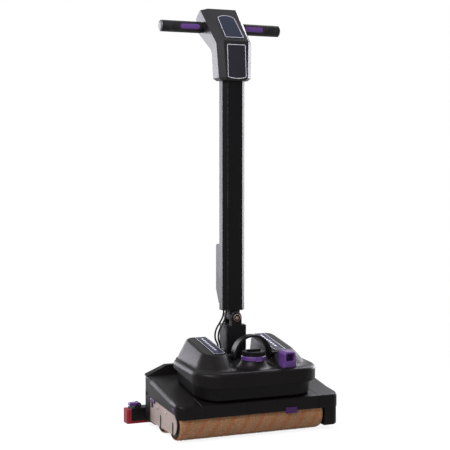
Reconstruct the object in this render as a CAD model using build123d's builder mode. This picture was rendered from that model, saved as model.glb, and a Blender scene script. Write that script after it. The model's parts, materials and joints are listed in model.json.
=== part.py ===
from build123d import *
import os
from math import atan2, cos, hypot, pi, radians, sin, sqrt, tan

# Floor scrubber dryer with two counter-rotating brushes, a lift-off tank, a rear squeegee and a tilting pole.
# Millimetres. X runs to the machine's right seen from the front, the front faces -Y, Z is up.
# The origin lies on the floor in the middle of the footprint.

os.makedirs("parts", exist_ok=True)

# Clearances and walls
running_fit = 0.05
gap = 0.3
skin = 2.5
chassis_wall = 2.5
end_plate_wall = 2.0

# Gear train in the right-hand case, all axes on one level
gear_module = 2.0
brush_teeth = 19
idler_teeth = 13
drive_idler_teeth = 26
pinion_teeth = 10
gear_width = 8.0
pressure_angle = 25.0
addendum = 0.8
dedendum = 1.15
backlash = 0.24
gear_standoff = 3.0
idler_pin_radius = 4.0

# Brushes
brush_length = 402.0
brush_tip_gap = 2.0
core_radius = 33.0
core_wall = 4.0
backing_wall = 1.5
tip_flat = 0.5
strand_radius = 3.4
strand_pitch = 8.0
strand_starts = 4
strand_lead = 160.0
strand_root = 0.8
hub_width = 14.0
axle_radius = 4.9
slot_radius = 5.0
drive_square = 14.0
drive_depth = 10.0
drive_shaft_radius = 10.0
brush_end_gap = 2.0

# Base
front_axis_y = -104.0
case_width = 44.0
roof_gap = 2.0
ground_gap = 12.0
bay_gap = 2.5
motor_radius = 28.0
motor_length = 120.0
motor_shaft_radius = 4.0

# Deck
fascia_low = 60.0
fascia_overhang = 1.0
deck_front_z = 93.0
deck_pitch = 10.0
deck_corner = 24.0
deck_rear_corner = 8.0
deck_round = 7.0
hump_height = 160.0
hump_depth = 14.0
hump_run = 5.0
hip_angle = 22.0
hip_inner = 152.0
skirt_front_z = 70.0
skirt_rear_z = 82.0
rear_skirt_z = 100.0
front_cover_half = 165.0
front_cover_depth = 60.0
seam = 0.6

# Tank
tank_half = 165.0
tank_rear = 66.0
tank_corner = 58.0
tank_draft = 6.0
tank_wall = 3.0
tank_round = 8.0
lid_half = 174.0
lid_front = -164.0
lid_rear = 84.0
lid_corner = 68.0
lid_front_low = 135.0
lid_front_high = 172.0
lid_low_pitch = 8.0
lid_high_pitch = 2.7
lid_round = 11.0
notch_half = 48.0
notch_front = -4.0

# Pods on the lid
pod_inner = 57.0
pod_outer = 156.0
pod_front = -142.0
pod_rear = 78.0
pod_corner = 34.0
pod_top_x = 95.0
pod_top_width = 66.0
pod_top_length = 164.0
pod_top_y = -12.0
pod_top_z = 221.0
pod_top_corner = 26.0
pod_pitch = 10.0
pod_round = 11.0
pod_plate_x = 87.0
pod_plate_width = 32.0
pod_plate_length = 138.0
pod_plate_thickness = 1.4

# Filler neck, cap, spout and arch handle
neck_y = -99.0
neck_radius = 25.0
neck_bore = 21.0
neck_mound_radius = 62.0
neck_mound_height = 16.0
collar_radius = 32.0
collar_height = 12.0
collar_tab = 14.0
cap_radius = 29.5
cap_height = 11.0
cap_wall = 2.5
cap_ribs = 16
cap_rib_radius = 1.5
cap_bar = 7.0
cap_bar_height = 5.0
bail_y = -86.0
bail_pivot_z = 202.0
bail_half = 48.0
bail_width = 24.0
bail_thickness = 5.5
bail_pin_radius = 3.5
spout_x = 84.0
spout_width = 36.0
spout_height = 35.0
spout_wall = 7.5
spout_length = 34.0
spout_front = -146.0
spout_floor_z = 180.0
spout_foot_width = 44.0

# Pivot of the pole
tilt_y = 35.0
tilt_z = 168.0
tilt_pin_radius = 7.0
barrel_radius = 15.0
barrel_half = 29.0
bracket_wall = 8.0
bracket_foot = 5.0
bracket_half = 45.0
yoke_half = 29.0
yoke_depth = 50.0
yoke_shoulder_z = 268.0
ear_front = 12.0
ear_rear = 10.0
ear_radius = 16.0
swing_z = 288.0
bolt_radius = 6.0
bolt_head_radius = 10.0
bolt_head = 5.0

# Cables
cable_radius = 2.5
gland_x = 38.0
gland_top = 200.0
gland_height = 12.0
cable_start_x = 22.0
cable_places = ((30.0, 0.0), (46.0, 3.0))

# Pole and battery
pole_width = 64.0
pole_depth = 38.0
pole_front = 20.0
pole_wall = 2.5
pole_corner = 6.0
pole_bevel = 11.0
pole_bottom = 306.0
pole_top = 985.0
foot_length = 45.0
cradle_wall = 6.0
cradle_width = 44.0
shelf_wall = 5.0
battery_width = 50.0
battery_depth = 32.0
battery_length = 160.0
battery_bottom = 322.0
battery_bevel = 22.0

# Head and T-bar
head_half = 56.0
head_bottom_half = 46.0
head_top = 1121.0
head_bottom = 921.0
head_bevel = 15.0
head_foot_bevel = 7.0
head_wall = 3.0
head_front_y = 6.0
head_rear_y = 62.0
panel_thickness = 1.2
bar_y = 121.0
bar_z = 1070.0
bar_radius = 12.0
grip_radius = 15.5
grip_end = 175.0
grip_start = 57.0
grip_cap = 4.0
sleeve_radius = 14.5
button_start = 66.0
button_length = 56.0
button_width = 14.0

# Squeegee
squeegee_overhang = 46.0
squeegee_rear = 157.0
holder_lip = 2.5
holder_lip_low = 8.0
blade_wall = 4.0
holder_depth = 28.0
holder_low = 14.0
holder_high = 42.0
blade_end_width = 12.0
blade_end_high = 38.0
front_blade_high = 24.0
rear_blade_high = 34.0
arm_inset = 22.0
arm_wall = 8.0
arm_radius = 8.0
arm_pivot_z = 36.0
arm_pin_radius = 4.0
lever_inset = 36.0
lever_length = 26.0
lever_half = 8.0
lever_radius = 5.5
lever_pin_radius = 2.5
lever_lift = 7.0

# Small purple pieces
corner_tab_z = 82.0
corner_tab_width = 18.0
corner_tab_height = 7.0
corner_tab_depth = 4.0
corner_tab_y = -115.0
front_tab_x = 85.0
front_tab_width = 32.0
front_tab_low = 54.0
front_tab_high = 70.0
front_tab_depth = 2.5
latch_y = 46.0
latch_low = 70.0
latch_high = 78.5
latch_width = 36.0
latch_depth = 2.6
slide_gap = 0.1

# Places that follow from the sizes above
brush_pitch_radius = gear_module * brush_teeth / 2
idler_pitch_radius = gear_module * idler_teeth / 2
drive_idler_pitch_radius = gear_module * drive_idler_teeth / 2
pinion_pitch_radius = gear_module * pinion_teeth / 2
brush_spacing = 2 * brush_pitch_radius + 4 * idler_pitch_radius
brush_radius = (brush_spacing - brush_tip_gap) / 2
axis_z = brush_radius - tip_flat
rear_axis_y = front_axis_y + brush_spacing
front_idler_y = front_axis_y + brush_pitch_radius + idler_pitch_radius
rear_idler_y = rear_axis_y - brush_pitch_radius - idler_pitch_radius
drive_idler_y = rear_axis_y + brush_pitch_radius + drive_idler_pitch_radius
motor_y = drive_idler_y + drive_idler_pitch_radius + pinion_pitch_radius

base_half = (brush_length + 2 * brush_end_gap + end_plate_wall + case_width) / 2
case_wall_x = base_half - case_width
gear_wall_x = case_wall_x + chassis_wall
brush_right = case_wall_x - brush_end_gap
brush_left = brush_right - brush_length
plate_x = brush_left - brush_end_gap
brush_mid = (brush_left + brush_right) / 2

roof_z = axis_z + brush_radius + roof_gap
roof_top = roof_z + chassis_wall
bay_front = rear_axis_y + brush_radius + 2 * roof_gap
bay_rear = motor_y + motor_radius + bay_gap + chassis_wall
bay_floor = ground_gap + chassis_wall

deck_half = base_half + gap + skin
deck_front = front_axis_y - brush_radius - fascia_overhang
deck_rear = bay_rear + gap + skin
hump_y = deck_rear - hump_depth
under_deck = skin + gap
arm_x = case_wall_x - arm_inset
squeegee_half = base_half + squeegee_overhang
lever_x = squeegee_half - lever_inset


def slope_z(y):
    """Height of the deck, which climbs from the fascia to the hump at the rear."""
    return deck_front_z + (y - deck_front) * tan(radians(deck_pitch))


def below_deck_z(y, depth):
    """Height that lies depth under the deck's slope, measured square to it."""
    return slope_z(y) - depth / cos(radians(deck_pitch))


# Hips of the hump: sections across the deck's edge, which climbs towards the rear
ridge_direction = (0, cos(radians(deck_pitch)), sin(radians(deck_pitch)))
ridge_plane = Plane(origin=(0, deck_front, deck_front_z), x_dir=(-1, 0, 0), z_dir=ridge_direction)
hip_rise = (deck_half - hip_inner) * tan(radians(hip_angle))


def hip_points(inset):
    """Section of the hips, set inwards by inset; it keeps all that lies under them."""
    outer = deck_half - inset
    drop = inset / cos(radians(hip_angle))
    edge = inset * tan(radians(hip_angle)) - drop
    half = [(outer, -deck_half), (outer, edge), (hip_inner, hip_rise - drop), (hip_inner, deck_half)]
    return half + [(-x, y) for x, y in reversed(half)]


# Forms of the deck: its outside, its inside and the room that it leaves below
# A sloping slab with rounded corners and edges carries a hipped hump at the rear.


def is_front(edge):
    """True for an edge on the deck's front half."""
    return edge.center().Y < 0


deck_forms = []
for inset in (0.0, skin, under_deck):
    front, rear, half = deck_front + inset, deck_rear - inset, deck_half - inset
    top_front, top_rear = below_deck_z(front, inset), below_deck_z(rear, inset)
    hump_foot = below_deck_z(hump_y, inset + skin)
    with BuildPart() as deck_hump:
        with BuildSketch(Plane.YZ):
            with BuildLine():
                Polyline(
                    (hump_y - hump_run + inset, hump_foot),
                    (hump_y - hump_run + inset, slope_z(hump_y)),
                    (hump_y + inset, hump_height - inset),
                    (rear, hump_height - inset),
                    (rear, hump_foot),
                    close=True,
                )
            make_face()
        extrude(amount=half, both=True)
        with BuildSketch(ridge_plane):
            with BuildLine():
                Polyline(hip_points(inset), close=True)
            make_face()
        extrude(amount=2 * deck_half, both=True, mode=Mode.INTERSECT)
    with BuildPart() as deck_slab:
        with BuildSketch(Plane.YZ):
            with BuildLine():
                Polyline((front, 0), (front, top_front), (rear, top_rear), (rear, 0), close=True)
            make_face()
        extrude(amount=half, both=True)
        upright = deck_slab.edges().filter_by(Axis.Z)
        fillet(upright.filter_by(is_front), deck_corner - inset)
        fillet(deck_slab.edges().filter_by(Axis.Z).group_by(Axis.Y)[-1], deck_rear_corner - inset)
        top_edges = deck_slab.faces().sort_by(Axis.Z)[-1].edges()
        fillet(top_edges.filter_by(lambda edge: edge.center().Y < hump_y), deck_round - inset)
        add(deck_hump.part)
    deck_forms.append(deck_slab.part)

# Chassis
# A bent sheet roofs the brushes, drops behind them and makes the motor bay, with a wall for the gears.
bracket_front = tilt_y - yoke_depth / 2 - 4
bracket_rear = tilt_y + yoke_depth / 2
arm_pivot_y = bay_rear + gap + arm_radius
inner_front = deck_front + under_deck
roof_front = deck_front + (roof_top - below_deck_z(deck_front, under_deck)) / tan(radians(deck_pitch))

with BuildPart() as chassis:
    with BuildSketch(Plane.YZ.offset(plate_x)):
        with BuildLine():
            Polyline(
                (roof_front, roof_z),
                (bay_front, roof_z),
                (bay_front, ground_gap),
                (bay_rear, ground_gap),
                (bay_rear, roof_top),
                (bay_rear - chassis_wall, roof_top),
                (bay_rear - chassis_wall, bay_floor),
                (bay_front + chassis_wall, bay_floor),
                (bay_front + chassis_wall, roof_top),
                (roof_front, roof_top),
                close=True,
            )
        make_face()
    extrude(amount=case_wall_x - plate_x)
    with BuildSketch(Plane.YZ.offset(case_wall_x)):
        with BuildLine():
            Polyline(
                (inner_front, fascia_low),
                (front_axis_y - drive_shaft_radius, ground_gap),
                (bay_rear, ground_gap),
                (bay_rear, roof_top),
                (roof_front, roof_top),
                (inner_front, below_deck_z(inner_front, under_deck)),
                close=True,
            )
        make_face()
    extrude(amount=chassis_wall)
    add(deck_forms[2], mode=Mode.INTERSECT)
    with Locations((0, (bay_front + bracket_rear) / 2, roof_z + chassis_wall / 2)):
        Box(2 * bracket_half, bracket_rear - bay_front, chassis_wall)
    # Running holes for the brush drives and the motor shaft
    for y in (front_axis_y, rear_axis_y):
        with Locations(Location((gear_wall_x, y, axis_z), (0, 90, 0))):
            Cylinder(drive_shaft_radius + running_fit, 4 * chassis_wall, mode=Mode.SUBTRACT)
    with Locations(Location((gear_wall_x, motor_y, axis_z), (0, 90, 0))):
        Cylinder(motor_shaft_radius + running_fit, 4 * chassis_wall, mode=Mode.SUBTRACT)
    # Pins for the idler gears
    idler_pin_length = gear_standoff + gear_width + gear_standoff
    for y in (front_idler_y, rear_idler_y, drive_idler_y):
        with Locations(Location((gear_wall_x + idler_pin_length / 2, y, axis_z), (0, 90, 0))):
            Cylinder(idler_pin_radius, idler_pin_length)
    # Lugs for the squeegee arms
    for side in (-1, 1):
        lug_x = side * (arm_x + arm_wall / 2 + gap + arm_wall / 2)
        with BuildSketch(Plane.YZ.offset(lug_x)):
            with Locations((arm_pivot_y, arm_pivot_z)):
                Circle(arm_radius)
            with Locations(((bay_rear + arm_pivot_y) / 2, arm_pivot_z)):
                Rectangle(arm_pivot_y - bay_rear, 2 * arm_radius)
        extrude(amount=arm_wall / 2, both=True)
        with Locations(Location((lug_x, arm_pivot_y, arm_pivot_z), (0, 90, 0))):
            Cylinder(arm_pin_radius + running_fit, 2 * arm_wall, mode=Mode.SUBTRACT)
chassis.part.label = "chassis"
export_step(chassis.part, "parts/chassis.step")

# Left end plate
# Sheet metal over the brush ends, with a slot open downwards for each axle.
plate_overlap = 32.0
plate_rear = bay_front + plate_overlap
plate_low = ground_gap + 4
plate_screw_places = ((-52.0, 62.0), (12.0, 62.0))
plate_screw_radius = 4.0
plate_screw_head = 1.2

with BuildPart() as end_plate:
    with BuildSketch(Plane.YZ.offset(plate_x - end_plate_wall)):
        with Locations(((front_axis_y + plate_rear) / 2, (plate_low + roof_top) / 2)):
            Rectangle(plate_rear - front_axis_y, roof_top - plate_low)
        with Locations((front_axis_y, axis_z)):
            Circle(axis_z - plate_low)
        for y in (front_axis_y, rear_axis_y):
            with Locations((y, axis_z)):
                Circle(slot_radius, mode=Mode.SUBTRACT)
            with Locations((y, axis_z / 2)):
                Rectangle(2 * slot_radius, axis_z, mode=Mode.SUBTRACT)
    extrude(amount=end_plate_wall)
end_plate.part.label = "left_end_plate"
export_step(end_plate.part, "parts/left_end_plate.step")

with BuildPart() as plate_screws:
    for y, z in plate_screw_places:
        with Locations(Location((plate_x - end_plate_wall - plate_screw_head / 2, y, z), (0, 90, 0))):
            Cylinder(plate_screw_radius, plate_screw_head)
plate_screws.part.label = "end_plate_screws"
export_step(plate_screws.part, "parts/end_plate_screws.step")

# Rear end cover at the left, closing the motor bay, with two square holes
rear_cover_wall = 4.0
rear_cover_hole = 8.0
rear_cover_holes = (30.0, 86.0)
rear_cover_inset = 12.0
rear_cover_top = rear_skirt_z - gap

with BuildPart() as rear_cover:
    rear_cover_mid = (plate_rear + gap + bay_rear) / 2
    with BuildSketch(Plane.YZ.offset(plate_x - rear_cover_wall)):
        with Locations((rear_cover_mid, (ground_gap + rear_cover_top) / 2)):
            RectangleRounded(bay_rear - plate_rear - gap, rear_cover_top - ground_gap, 3)
        for z in rear_cover_holes:
            with Locations((bay_rear - rear_cover_inset, z)):
                Rectangle(rear_cover_hole, rear_cover_hole, mode=Mode.SUBTRACT)
    extrude(amount=rear_cover_wall)
rear_cover.part.label = "left_rear_cover"
export_step(rear_cover.part, "parts/left_rear_cover.step")

# Gear case cover at the right
# Its front stands flush with the fascia, and its upper part goes up behind the fascia and the deck's skirt.
case_front = front_axis_y - brush_pitch_radius - 2 * gear_module
case_void_top = axis_z + drive_idler_pitch_radius + 2 * gear_module + skin
case_corner = deck_corner - under_deck
case_foot_round = 5.0


with BuildPart() as gear_case:
    # Upper part under the deck, then the lower part in front of it
    with Locations(((gear_wall_x + base_half) / 2, (inner_front + bay_rear) / 2, (fascia_low - gap + roof_top) / 2)):
        Box(base_half - gear_wall_x, bay_rear - inner_front, roof_top - fascia_low + gap)
    add(deck_forms[2], mode=Mode.INTERSECT)
    with BuildSketch(Plane.XY.offset(ground_gap)):
        with Locations(((gear_wall_x + base_half) / 2, (deck_front + bay_rear) / 2)):
            Rectangle(base_half - gear_wall_x, bay_rear - deck_front)
        fillet(vertices().group_by(Axis.X)[-1].sort_by(Axis.Y)[0], case_corner)
        fillet(vertices().group_by(Axis.X)[-1].sort_by(Axis.Y)[-1], deck_rear_corner - under_deck)
    extrude(amount=fascia_low - gap - ground_gap)
    foot_edges = gear_case.faces().sort_by(Axis.Z)[0].edges()
    fillet(foot_edges.filter_by(lambda edge: edge.center().X > gear_wall_x + 1), case_foot_round)
    with BuildSketch(Plane.YZ.offset(gear_wall_x)):
        with Locations(((case_front + bay_rear - skin) / 2, (ground_gap + skin + case_void_top) / 2)):
            Rectangle(bay_rear - skin - case_front, case_void_top - ground_gap - skin)
    extrude(amount=base_half - gear_wall_x - 2 * skin, mode=Mode.SUBTRACT)
gear_case.part.label = "gear_case_cover"
export_step(gear_case.part, "parts/gear_case_cover.step")


# Gears
def gear_points(teeth, phase):
    """Outline of one spur gear: two involute points on each flank, tip and root, turned by phase."""
    pitch_radius = gear_module * teeth / 2
    base_radius = pitch_radius * cos(radians(pressure_angle))
    tip_radius = pitch_radius + addendum * gear_module
    root_radius = pitch_radius - dedendum * gear_module
    half_pitch = pi / (2 * teeth) - backlash / (2 * pitch_radius)

    def half_angle(radius):
        turn = sqrt(max((radius / base_radius) ** 2 - 1, 0))
        pitch_turn = tan(radians(pressure_angle))
        involute = (turn - atan2(turn, 1)) - (pitch_turn - atan2(pitch_turn, 1))
        return half_pitch - involute

    start_radius = max(base_radius, root_radius)
    flank = ((root_radius, half_angle(start_radius)), (pitch_radius, half_angle(pitch_radius)))
    flank = flank + ((tip_radius, half_angle(tip_radius)),)
    points = []
    for tooth in range(teeth):
        middle = phase + 2 * pi * tooth / teeth
        for radius, angle in flank:
            points.append((radius * cos(middle - angle), radius * sin(middle - angle)))
        for radius, angle in reversed(flank):
            points.append((radius * cos(middle + angle), radius * sin(middle + angle)))
    return points


def meshed_phase(teeth_before, phase_before, teeth):
    """Turn of a gear that stands in mesh behind the one before it along +Y."""
    share = (0 - phase_before) * teeth_before / (2 * pi)
    return pi - 2 * pi / teeth * (0.5 - share)


gear_x = gear_wall_x + gear_standoff
gear_plane = Plane.YZ.offset(gear_x)
front_gear_phase = 0.0
front_idler_phase = meshed_phase(brush_teeth, front_gear_phase, idler_teeth)
rear_idler_phase = meshed_phase(idler_teeth, front_idler_phase, idler_teeth)
rear_gear_phase = meshed_phase(idler_teeth, rear_idler_phase, brush_teeth)
drive_idler_phase = meshed_phase(brush_teeth, rear_gear_phase, drive_idler_teeth)
pinion_phase = meshed_phase(drive_idler_teeth, drive_idler_phase, pinion_teeth)

brush_gears = (("front", front_axis_y, front_gear_phase), ("rear", rear_axis_y, rear_gear_phase))
for place, y, phase in brush_gears:
    with BuildPart() as brush_gear:
        with BuildSketch(gear_plane):
            with BuildLine():
                Polyline([(y + py, axis_z + pz) for py, pz in gear_points(brush_teeth, phase)], close=True)
            make_face()
        extrude(amount=gear_width)
        with Locations(Location(((brush_right + gear_x) / 2, y, axis_z), (0, 90, 0))):
            Cylinder(drive_shaft_radius, gear_x - brush_right)
        with Locations((brush_right - (drive_depth - gap) / 2, y, axis_z)):
            Box(drive_depth - gap, drive_square, drive_square)
    brush_gear.part.label = place + "_brush_gear"
    export_step(brush_gear.part, "parts/" + place + "_brush_gear.step")

idlers = (
    ("front_idler_gear", idler_teeth, front_idler_y, front_idler_phase),
    ("rear_idler_gear", idler_teeth, rear_idler_y, rear_idler_phase),
    ("drive_idler_gear", drive_idler_teeth, drive_idler_y, drive_idler_phase),
)
for label, teeth, y, phase in idlers:
    with BuildPart() as idler:
        with BuildSketch(gear_plane):
            with BuildLine():
                Polyline([(y + py, axis_z + pz) for py, pz in gear_points(teeth, phase)], close=True)
            make_face()
            with Locations((y, axis_z)):
                Circle(idler_pin_radius + running_fit, mode=Mode.SUBTRACT)
        extrude(amount=gear_width)
    idler.part.label = label
    export_step(idler.part, "parts/" + label + ".step")

# Drive motor and its pinion
with BuildPart() as drive_motor:
    with BuildSketch(Plane.YZ.offset(case_wall_x)):
        with Locations((motor_y, axis_z)):
            Circle(motor_radius)
            Circle(motor_shaft_radius + running_fit, mode=Mode.SUBTRACT)
    extrude(amount=-motor_length)
    chamfer(drive_motor.edges().filter_by(GeomType.CIRCLE).sort_by(Axis.X)[0:2], 1)
drive_motor.part.label = "drive_motor"
export_step(drive_motor.part, "parts/drive_motor.step")

with BuildPart() as pinion:
    with BuildSketch(gear_plane):
        with BuildLine():
            pinion_outline = gear_points(pinion_teeth, pinion_phase)
            Polyline([(motor_y + py, axis_z + pz) for py, pz in pinion_outline], close=True)
        make_face()
    extrude(amount=gear_width)
    with BuildSketch(Plane.YZ.offset(gear_x)):
        with Locations((motor_y, axis_z)):
            Circle(motor_shaft_radius)
    extrude(amount=-(gear_x - case_wall_x + motor_length / 4))
pinion.part.label = "motor_pinion"
export_step(pinion.part, "parts/motor_pinion.step")

# Suction motor, impeller and fan housing, upright in the bay
suction_x = -110.0
suction_radius = 26.0
suction_height = 50.0
fan_radius = 28.5
fan_wall = 2.5
fan_height = 26.0
fan_inlet = 12.0
fan_blades = 7
fan_shaft_radius = 3.0
bay_mid = (bay_front + bay_rear) / 2
fan_floor_z = bay_floor + suction_height

with BuildPart() as suction_motor:
    with Locations((suction_x, bay_mid, bay_floor + suction_height / 2)):
        Cylinder(suction_radius, suction_height)
    chamfer(suction_motor.edges().sort_by(Axis.Z)[0], 2)
    with Locations((suction_x, bay_mid, fan_floor_z + fan_height / 4)):
        Cylinder(fan_shaft_radius, fan_height / 2)
suction_motor.part.label = "suction_motor"
export_step(suction_motor.part, "parts/suction_motor.step")

with BuildPart() as fan_housing:
    with Locations((suction_x, bay_mid, fan_floor_z + fan_height / 2)):
        Cylinder(fan_radius, fan_height)
        Cylinder(fan_radius - fan_wall, fan_height - 2 * fan_wall, mode=Mode.SUBTRACT)
    with Locations((suction_x, bay_mid, fan_floor_z + fan_height)):
        Cylinder(fan_inlet, 3 * fan_wall, mode=Mode.SUBTRACT)
    with Locations((suction_x, bay_mid, fan_floor_z)):
        Cylinder(fan_shaft_radius + gap, 3 * fan_wall, mode=Mode.SUBTRACT)
    with Locations((suction_x - fan_radius, bay_mid, fan_floor_z + fan_height / 2)):
        Box(4 * fan_wall, fan_inlet, fan_height - 4 * fan_wall, mode=Mode.SUBTRACT)
fan_housing.part.label = "fan_housing"
export_step(fan_housing.part, "parts/fan_housing.step")

impeller_radius = fan_radius - fan_wall - 2
impeller_low = fan_floor_z + fan_wall + 1.5
impeller_height = fan_height - 2 * fan_wall - 3
with BuildPart() as impeller:
    with Locations((suction_x, bay_mid, impeller_low + 1)):
        Cylinder(impeller_radius, 2)
    with Locations((suction_x, bay_mid, impeller_low + impeller_height / 4)):
        Cylinder(2 * fan_shaft_radius, impeller_height / 2)
    with Locations((suction_x, bay_mid, impeller_low + impeller_height / 2)):
        with PolarLocations((impeller_radius + 2 * fan_shaft_radius) / 2, fan_blades):
            Box(impeller_radius - 2 * fan_shaft_radius - 1, 1.6, impeller_height)
    with Locations((suction_x, bay_mid, fan_floor_z + fan_height / 2)):
        Cylinder(fan_shaft_radius + running_fit, fan_height, mode=Mode.SUBTRACT)
impeller.part.label = "suction_impeller"
export_step(impeller.part, "parts/suction_impeller.step")

# Water pump on the bay's floor and the spray bar under the roof, between the brushes
pump_x = -10.0
pump_width = 46.0
pump_depth = 36.0
pump_height = 30.0
with BuildPart() as pump:
    with Locations((pump_x, bay_mid, bay_floor + pump_height / 2)):
        Box(pump_width, pump_depth, pump_height)
    fillet(pump.edges().filter_by(Axis.Z), 4)
    with Locations(Location((pump_x - pump_width / 2 - 14, bay_mid, bay_floor + pump_height / 2), (0, 90, 0))):
        Cylinder(pump_height / 2 - 2, 28)
    with Locations((pump_x, bay_mid, bay_floor + pump_height + 4)):
        Cylinder(4, 8)
pump.part.label = "water_pump"
export_step(pump.part, "parts/water_pump.step")

spray_width = 12.0
spray_height = 7.0
spray_nozzles = 8
spray_y = (front_axis_y + rear_axis_y) / 2
with BuildPart() as spray_bar:
    with Locations((brush_mid, spray_y, roof_z - spray_height / 2)):
        Box(brush_length - 20, spray_width, spray_height)
    fillet(spray_bar.edges().filter_by(Axis.X).group_by(Axis.Z)[0], 2)
    with Locations((brush_mid, spray_y, roof_z - spray_height)):
        with GridLocations(brush_length / spray_nozzles, 1, spray_nozzles, 1):
            Cylinder(1.5, 4, mode=Mode.SUBTRACT)
spray_bar.part.label = "spray_bar"
export_step(spray_bar.part, "parts/spray_bar.step")

# Brushes
# One bristle tuft stands on the backing along +Z; the places turn it round the brush along four helices.
backing_radius = core_radius + running_fit + backing_wall
strand_foot = backing_radius - strand_root
with BuildPart() as strand:
    with BuildSketch(Plane.XY.offset(strand_foot)):
        RegularPolygon(strand_radius, 3)
    extrude(amount=brush_radius - strand_foot)

# The end rows keep clear of the deck's rounded corners.
ring_count = int((brush_length - deck_corner) // strand_pitch)
for place, y in (("front", front_axis_y), ("rear", rear_axis_y)):
    with BuildPart() as core:
        with Locations(Location((brush_mid, y, axis_z), (0, 90, 0))):
            Cylinder(core_radius, brush_length)
            Cylinder(core_radius - core_wall, brush_length - 2 * hub_width, mode=Mode.SUBTRACT)
        with Locations(Location(((plate_x - end_plate_wall + brush_left) / 2, y, axis_z), (0, 90, 0))):
            Cylinder(axle_radius, brush_left - plate_x + end_plate_wall)
        with Locations((brush_right - drive_depth / 2, y, axis_z)):
            Box(drive_depth, drive_square + 2 * gap, drive_square + 2 * gap, mode=Mode.SUBTRACT)
    core.part.label = place + "_brush_core"
    export_step(core.part, "parts/" + place + "_brush_core.step")

    strand_places = []
    for ring in range(ring_count):
        x = brush_mid + (ring - (ring_count - 1) / 2) * strand_pitch
        for start in range(strand_starts):
            turn = 360.0 * (ring * strand_pitch / strand_lead + start / strand_starts)
            strand_places.append(Location((x, y, axis_z), (turn, 0, 0)))
    with BuildPart() as bristles:
        with Locations(Location((brush_mid, y, axis_z), (0, 90, 0))):
            Cylinder(backing_radius, brush_length)
        with Locations(*strand_places):
            add(strand.part)
        with Locations(Location((brush_mid, y, axis_z), (0, 90, 0))):
            Cylinder(core_radius + running_fit, brush_length, mode=Mode.SUBTRACT)
        with Locations((brush_mid, y, -brush_radius / 2)):
            Box(brush_length, brush_radius, brush_radius, mode=Mode.SUBTRACT)
    bristles.part.label = place + "_bristles"
    export_step(bristles.part, "parts/" + place + "_bristles.step")

# Deck
# The outside less the inside, cut to the skirt's line.
skirt_step_y = plate_rear + gap


with BuildPart() as deck_shell:
    add(deck_forms[0])
    add(deck_forms[1], mode=Mode.SUBTRACT)
    with BuildSketch(Plane.YZ):
        with BuildLine():
            Polyline(
                (deck_front - skin, 0),
                (deck_front - skin, fascia_low),
                (deck_front + deck_corner / 2, fascia_low),
                (deck_front + deck_corner, skirt_front_z),
                (skirt_step_y, skirt_rear_z),
                (skirt_step_y, rear_skirt_z),
                (deck_rear + skin, rear_skirt_z),
                (deck_rear + skin, 0),
                close=True,
            )
        make_face()
    extrude(amount=2 * deck_half, both=True, mode=Mode.SUBTRACT)

# Place of the corner tab, on the left side close behind the rounded corner
tab_plane = Plane(origin=(-deck_half, corner_tab_y, corner_tab_z), x_dir=(0, -1, 0), z_dir=(-1, 0, 0))
tab_proud = 1.0

cover_split_y = deck_front + front_cover_depth
opening_z = slope_z(tilt_y)
with BuildPart() as deck_cover:
    add(deck_shell.part)
    with Locations((0, cover_split_y - deck_half + seam, opening_z)):
        Box(2 * (front_cover_half + seam), 2 * deck_half, 2 * hump_height, mode=Mode.SUBTRACT)
    with Locations((0, (bracket_front + bracket_rear) / 2, opening_z)):
        Box(2 * bracket_half + 4, bracket_rear - bracket_front + 4, hump_height - roof_top, mode=Mode.SUBTRACT)
    with BuildSketch(tab_plane.offset(tab_proud)):
        Rectangle(corner_tab_width + 2 * gap, corner_tab_height + 2 * gap)
    extrude(amount=-corner_tab_depth - 2 * tab_proud, mode=Mode.SUBTRACT)
deck_cover.part.label = "deck_cover"
export_step(deck_cover.part, "parts/deck_cover.step")

with BuildPart() as front_cover:
    add(deck_shell.part)
    with Locations((0, cover_split_y - deck_half, opening_z)):
        Box(2 * front_cover_half, 2 * deck_half, 2 * hump_height, mode=Mode.INTERSECT)
front_cover.part.label = "front_cover"
export_step(front_cover.part, "parts/front_cover.step")

# Small purple pieces on the deck and the end plate
with BuildPart() as corner_tab:
    with BuildSketch(tab_plane.offset(tab_proud)):
        RectangleRounded(corner_tab_width, corner_tab_height, 2)
    extrude(amount=-corner_tab_depth)
corner_tab.part.label = "corner_tab"
export_step(corner_tab.part, "parts/corner_tab.step")

with BuildPart() as front_tab:
    tab_y = deck_front - slide_gap - front_tab_depth / 2
    tab_pivot_z = front_tab_high - front_tab_depth / 2
    with BuildSketch(Plane.YZ.offset(front_tab_x)):
        with Locations((tab_y, tab_pivot_z)):
            Circle(front_tab_depth / 2)
        with Locations((tab_y, (front_tab_low + tab_pivot_z) / 2)):
            Rectangle(front_tab_depth, tab_pivot_z - front_tab_low)
    extrude(amount=front_tab_width / 2, both=True)
front_tab.part.label = "front_tab"
export_step(front_tab.part, "parts/front_tab.step")

with BuildPart() as side_latch:
    latch_x = plate_x - end_plate_wall - slide_gap - latch_depth / 2
    with Locations((latch_x, latch_y, (latch_low + latch_high) / 2)):
        Box(latch_depth, latch_width, latch_high - latch_low)
    chamfer(side_latch.faces().sort_by(Axis.X)[0].edges(), 0.8)
side_latch.part.label = "side_latch"
export_step(side_latch.part, "parts/side_latch.step")

# Tank
# The body is drawn outwards to its rim, follows the deck below and leaves a slot for the pole at the rear.
tank_front = deck_front + 3
tank_low = slope_z(tank_front)
body_notch = tank_wall + gap


def lid_low_z(y):
    """Height of the lid's lower edge."""
    return lid_front_low + (y - lid_front) * tan(radians(lid_low_pitch))


def lid_high_z(y):
    """Height of the lid's top."""
    return lid_front_high + (y - lid_front) * tan(radians(lid_high_pitch))


def tank_section(height, inset):
    """Plan of the tank at a height: centre, width, depth and corner radius."""
    spread = (height - lid_front_low) * tan(radians(tank_draft)) - inset
    width = 2 * (tank_half + spread)
    depth = tank_rear - tank_front + 2 * spread
    return (0, (tank_front + tank_rear) / 2), width, depth, tank_corner + spread


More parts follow.
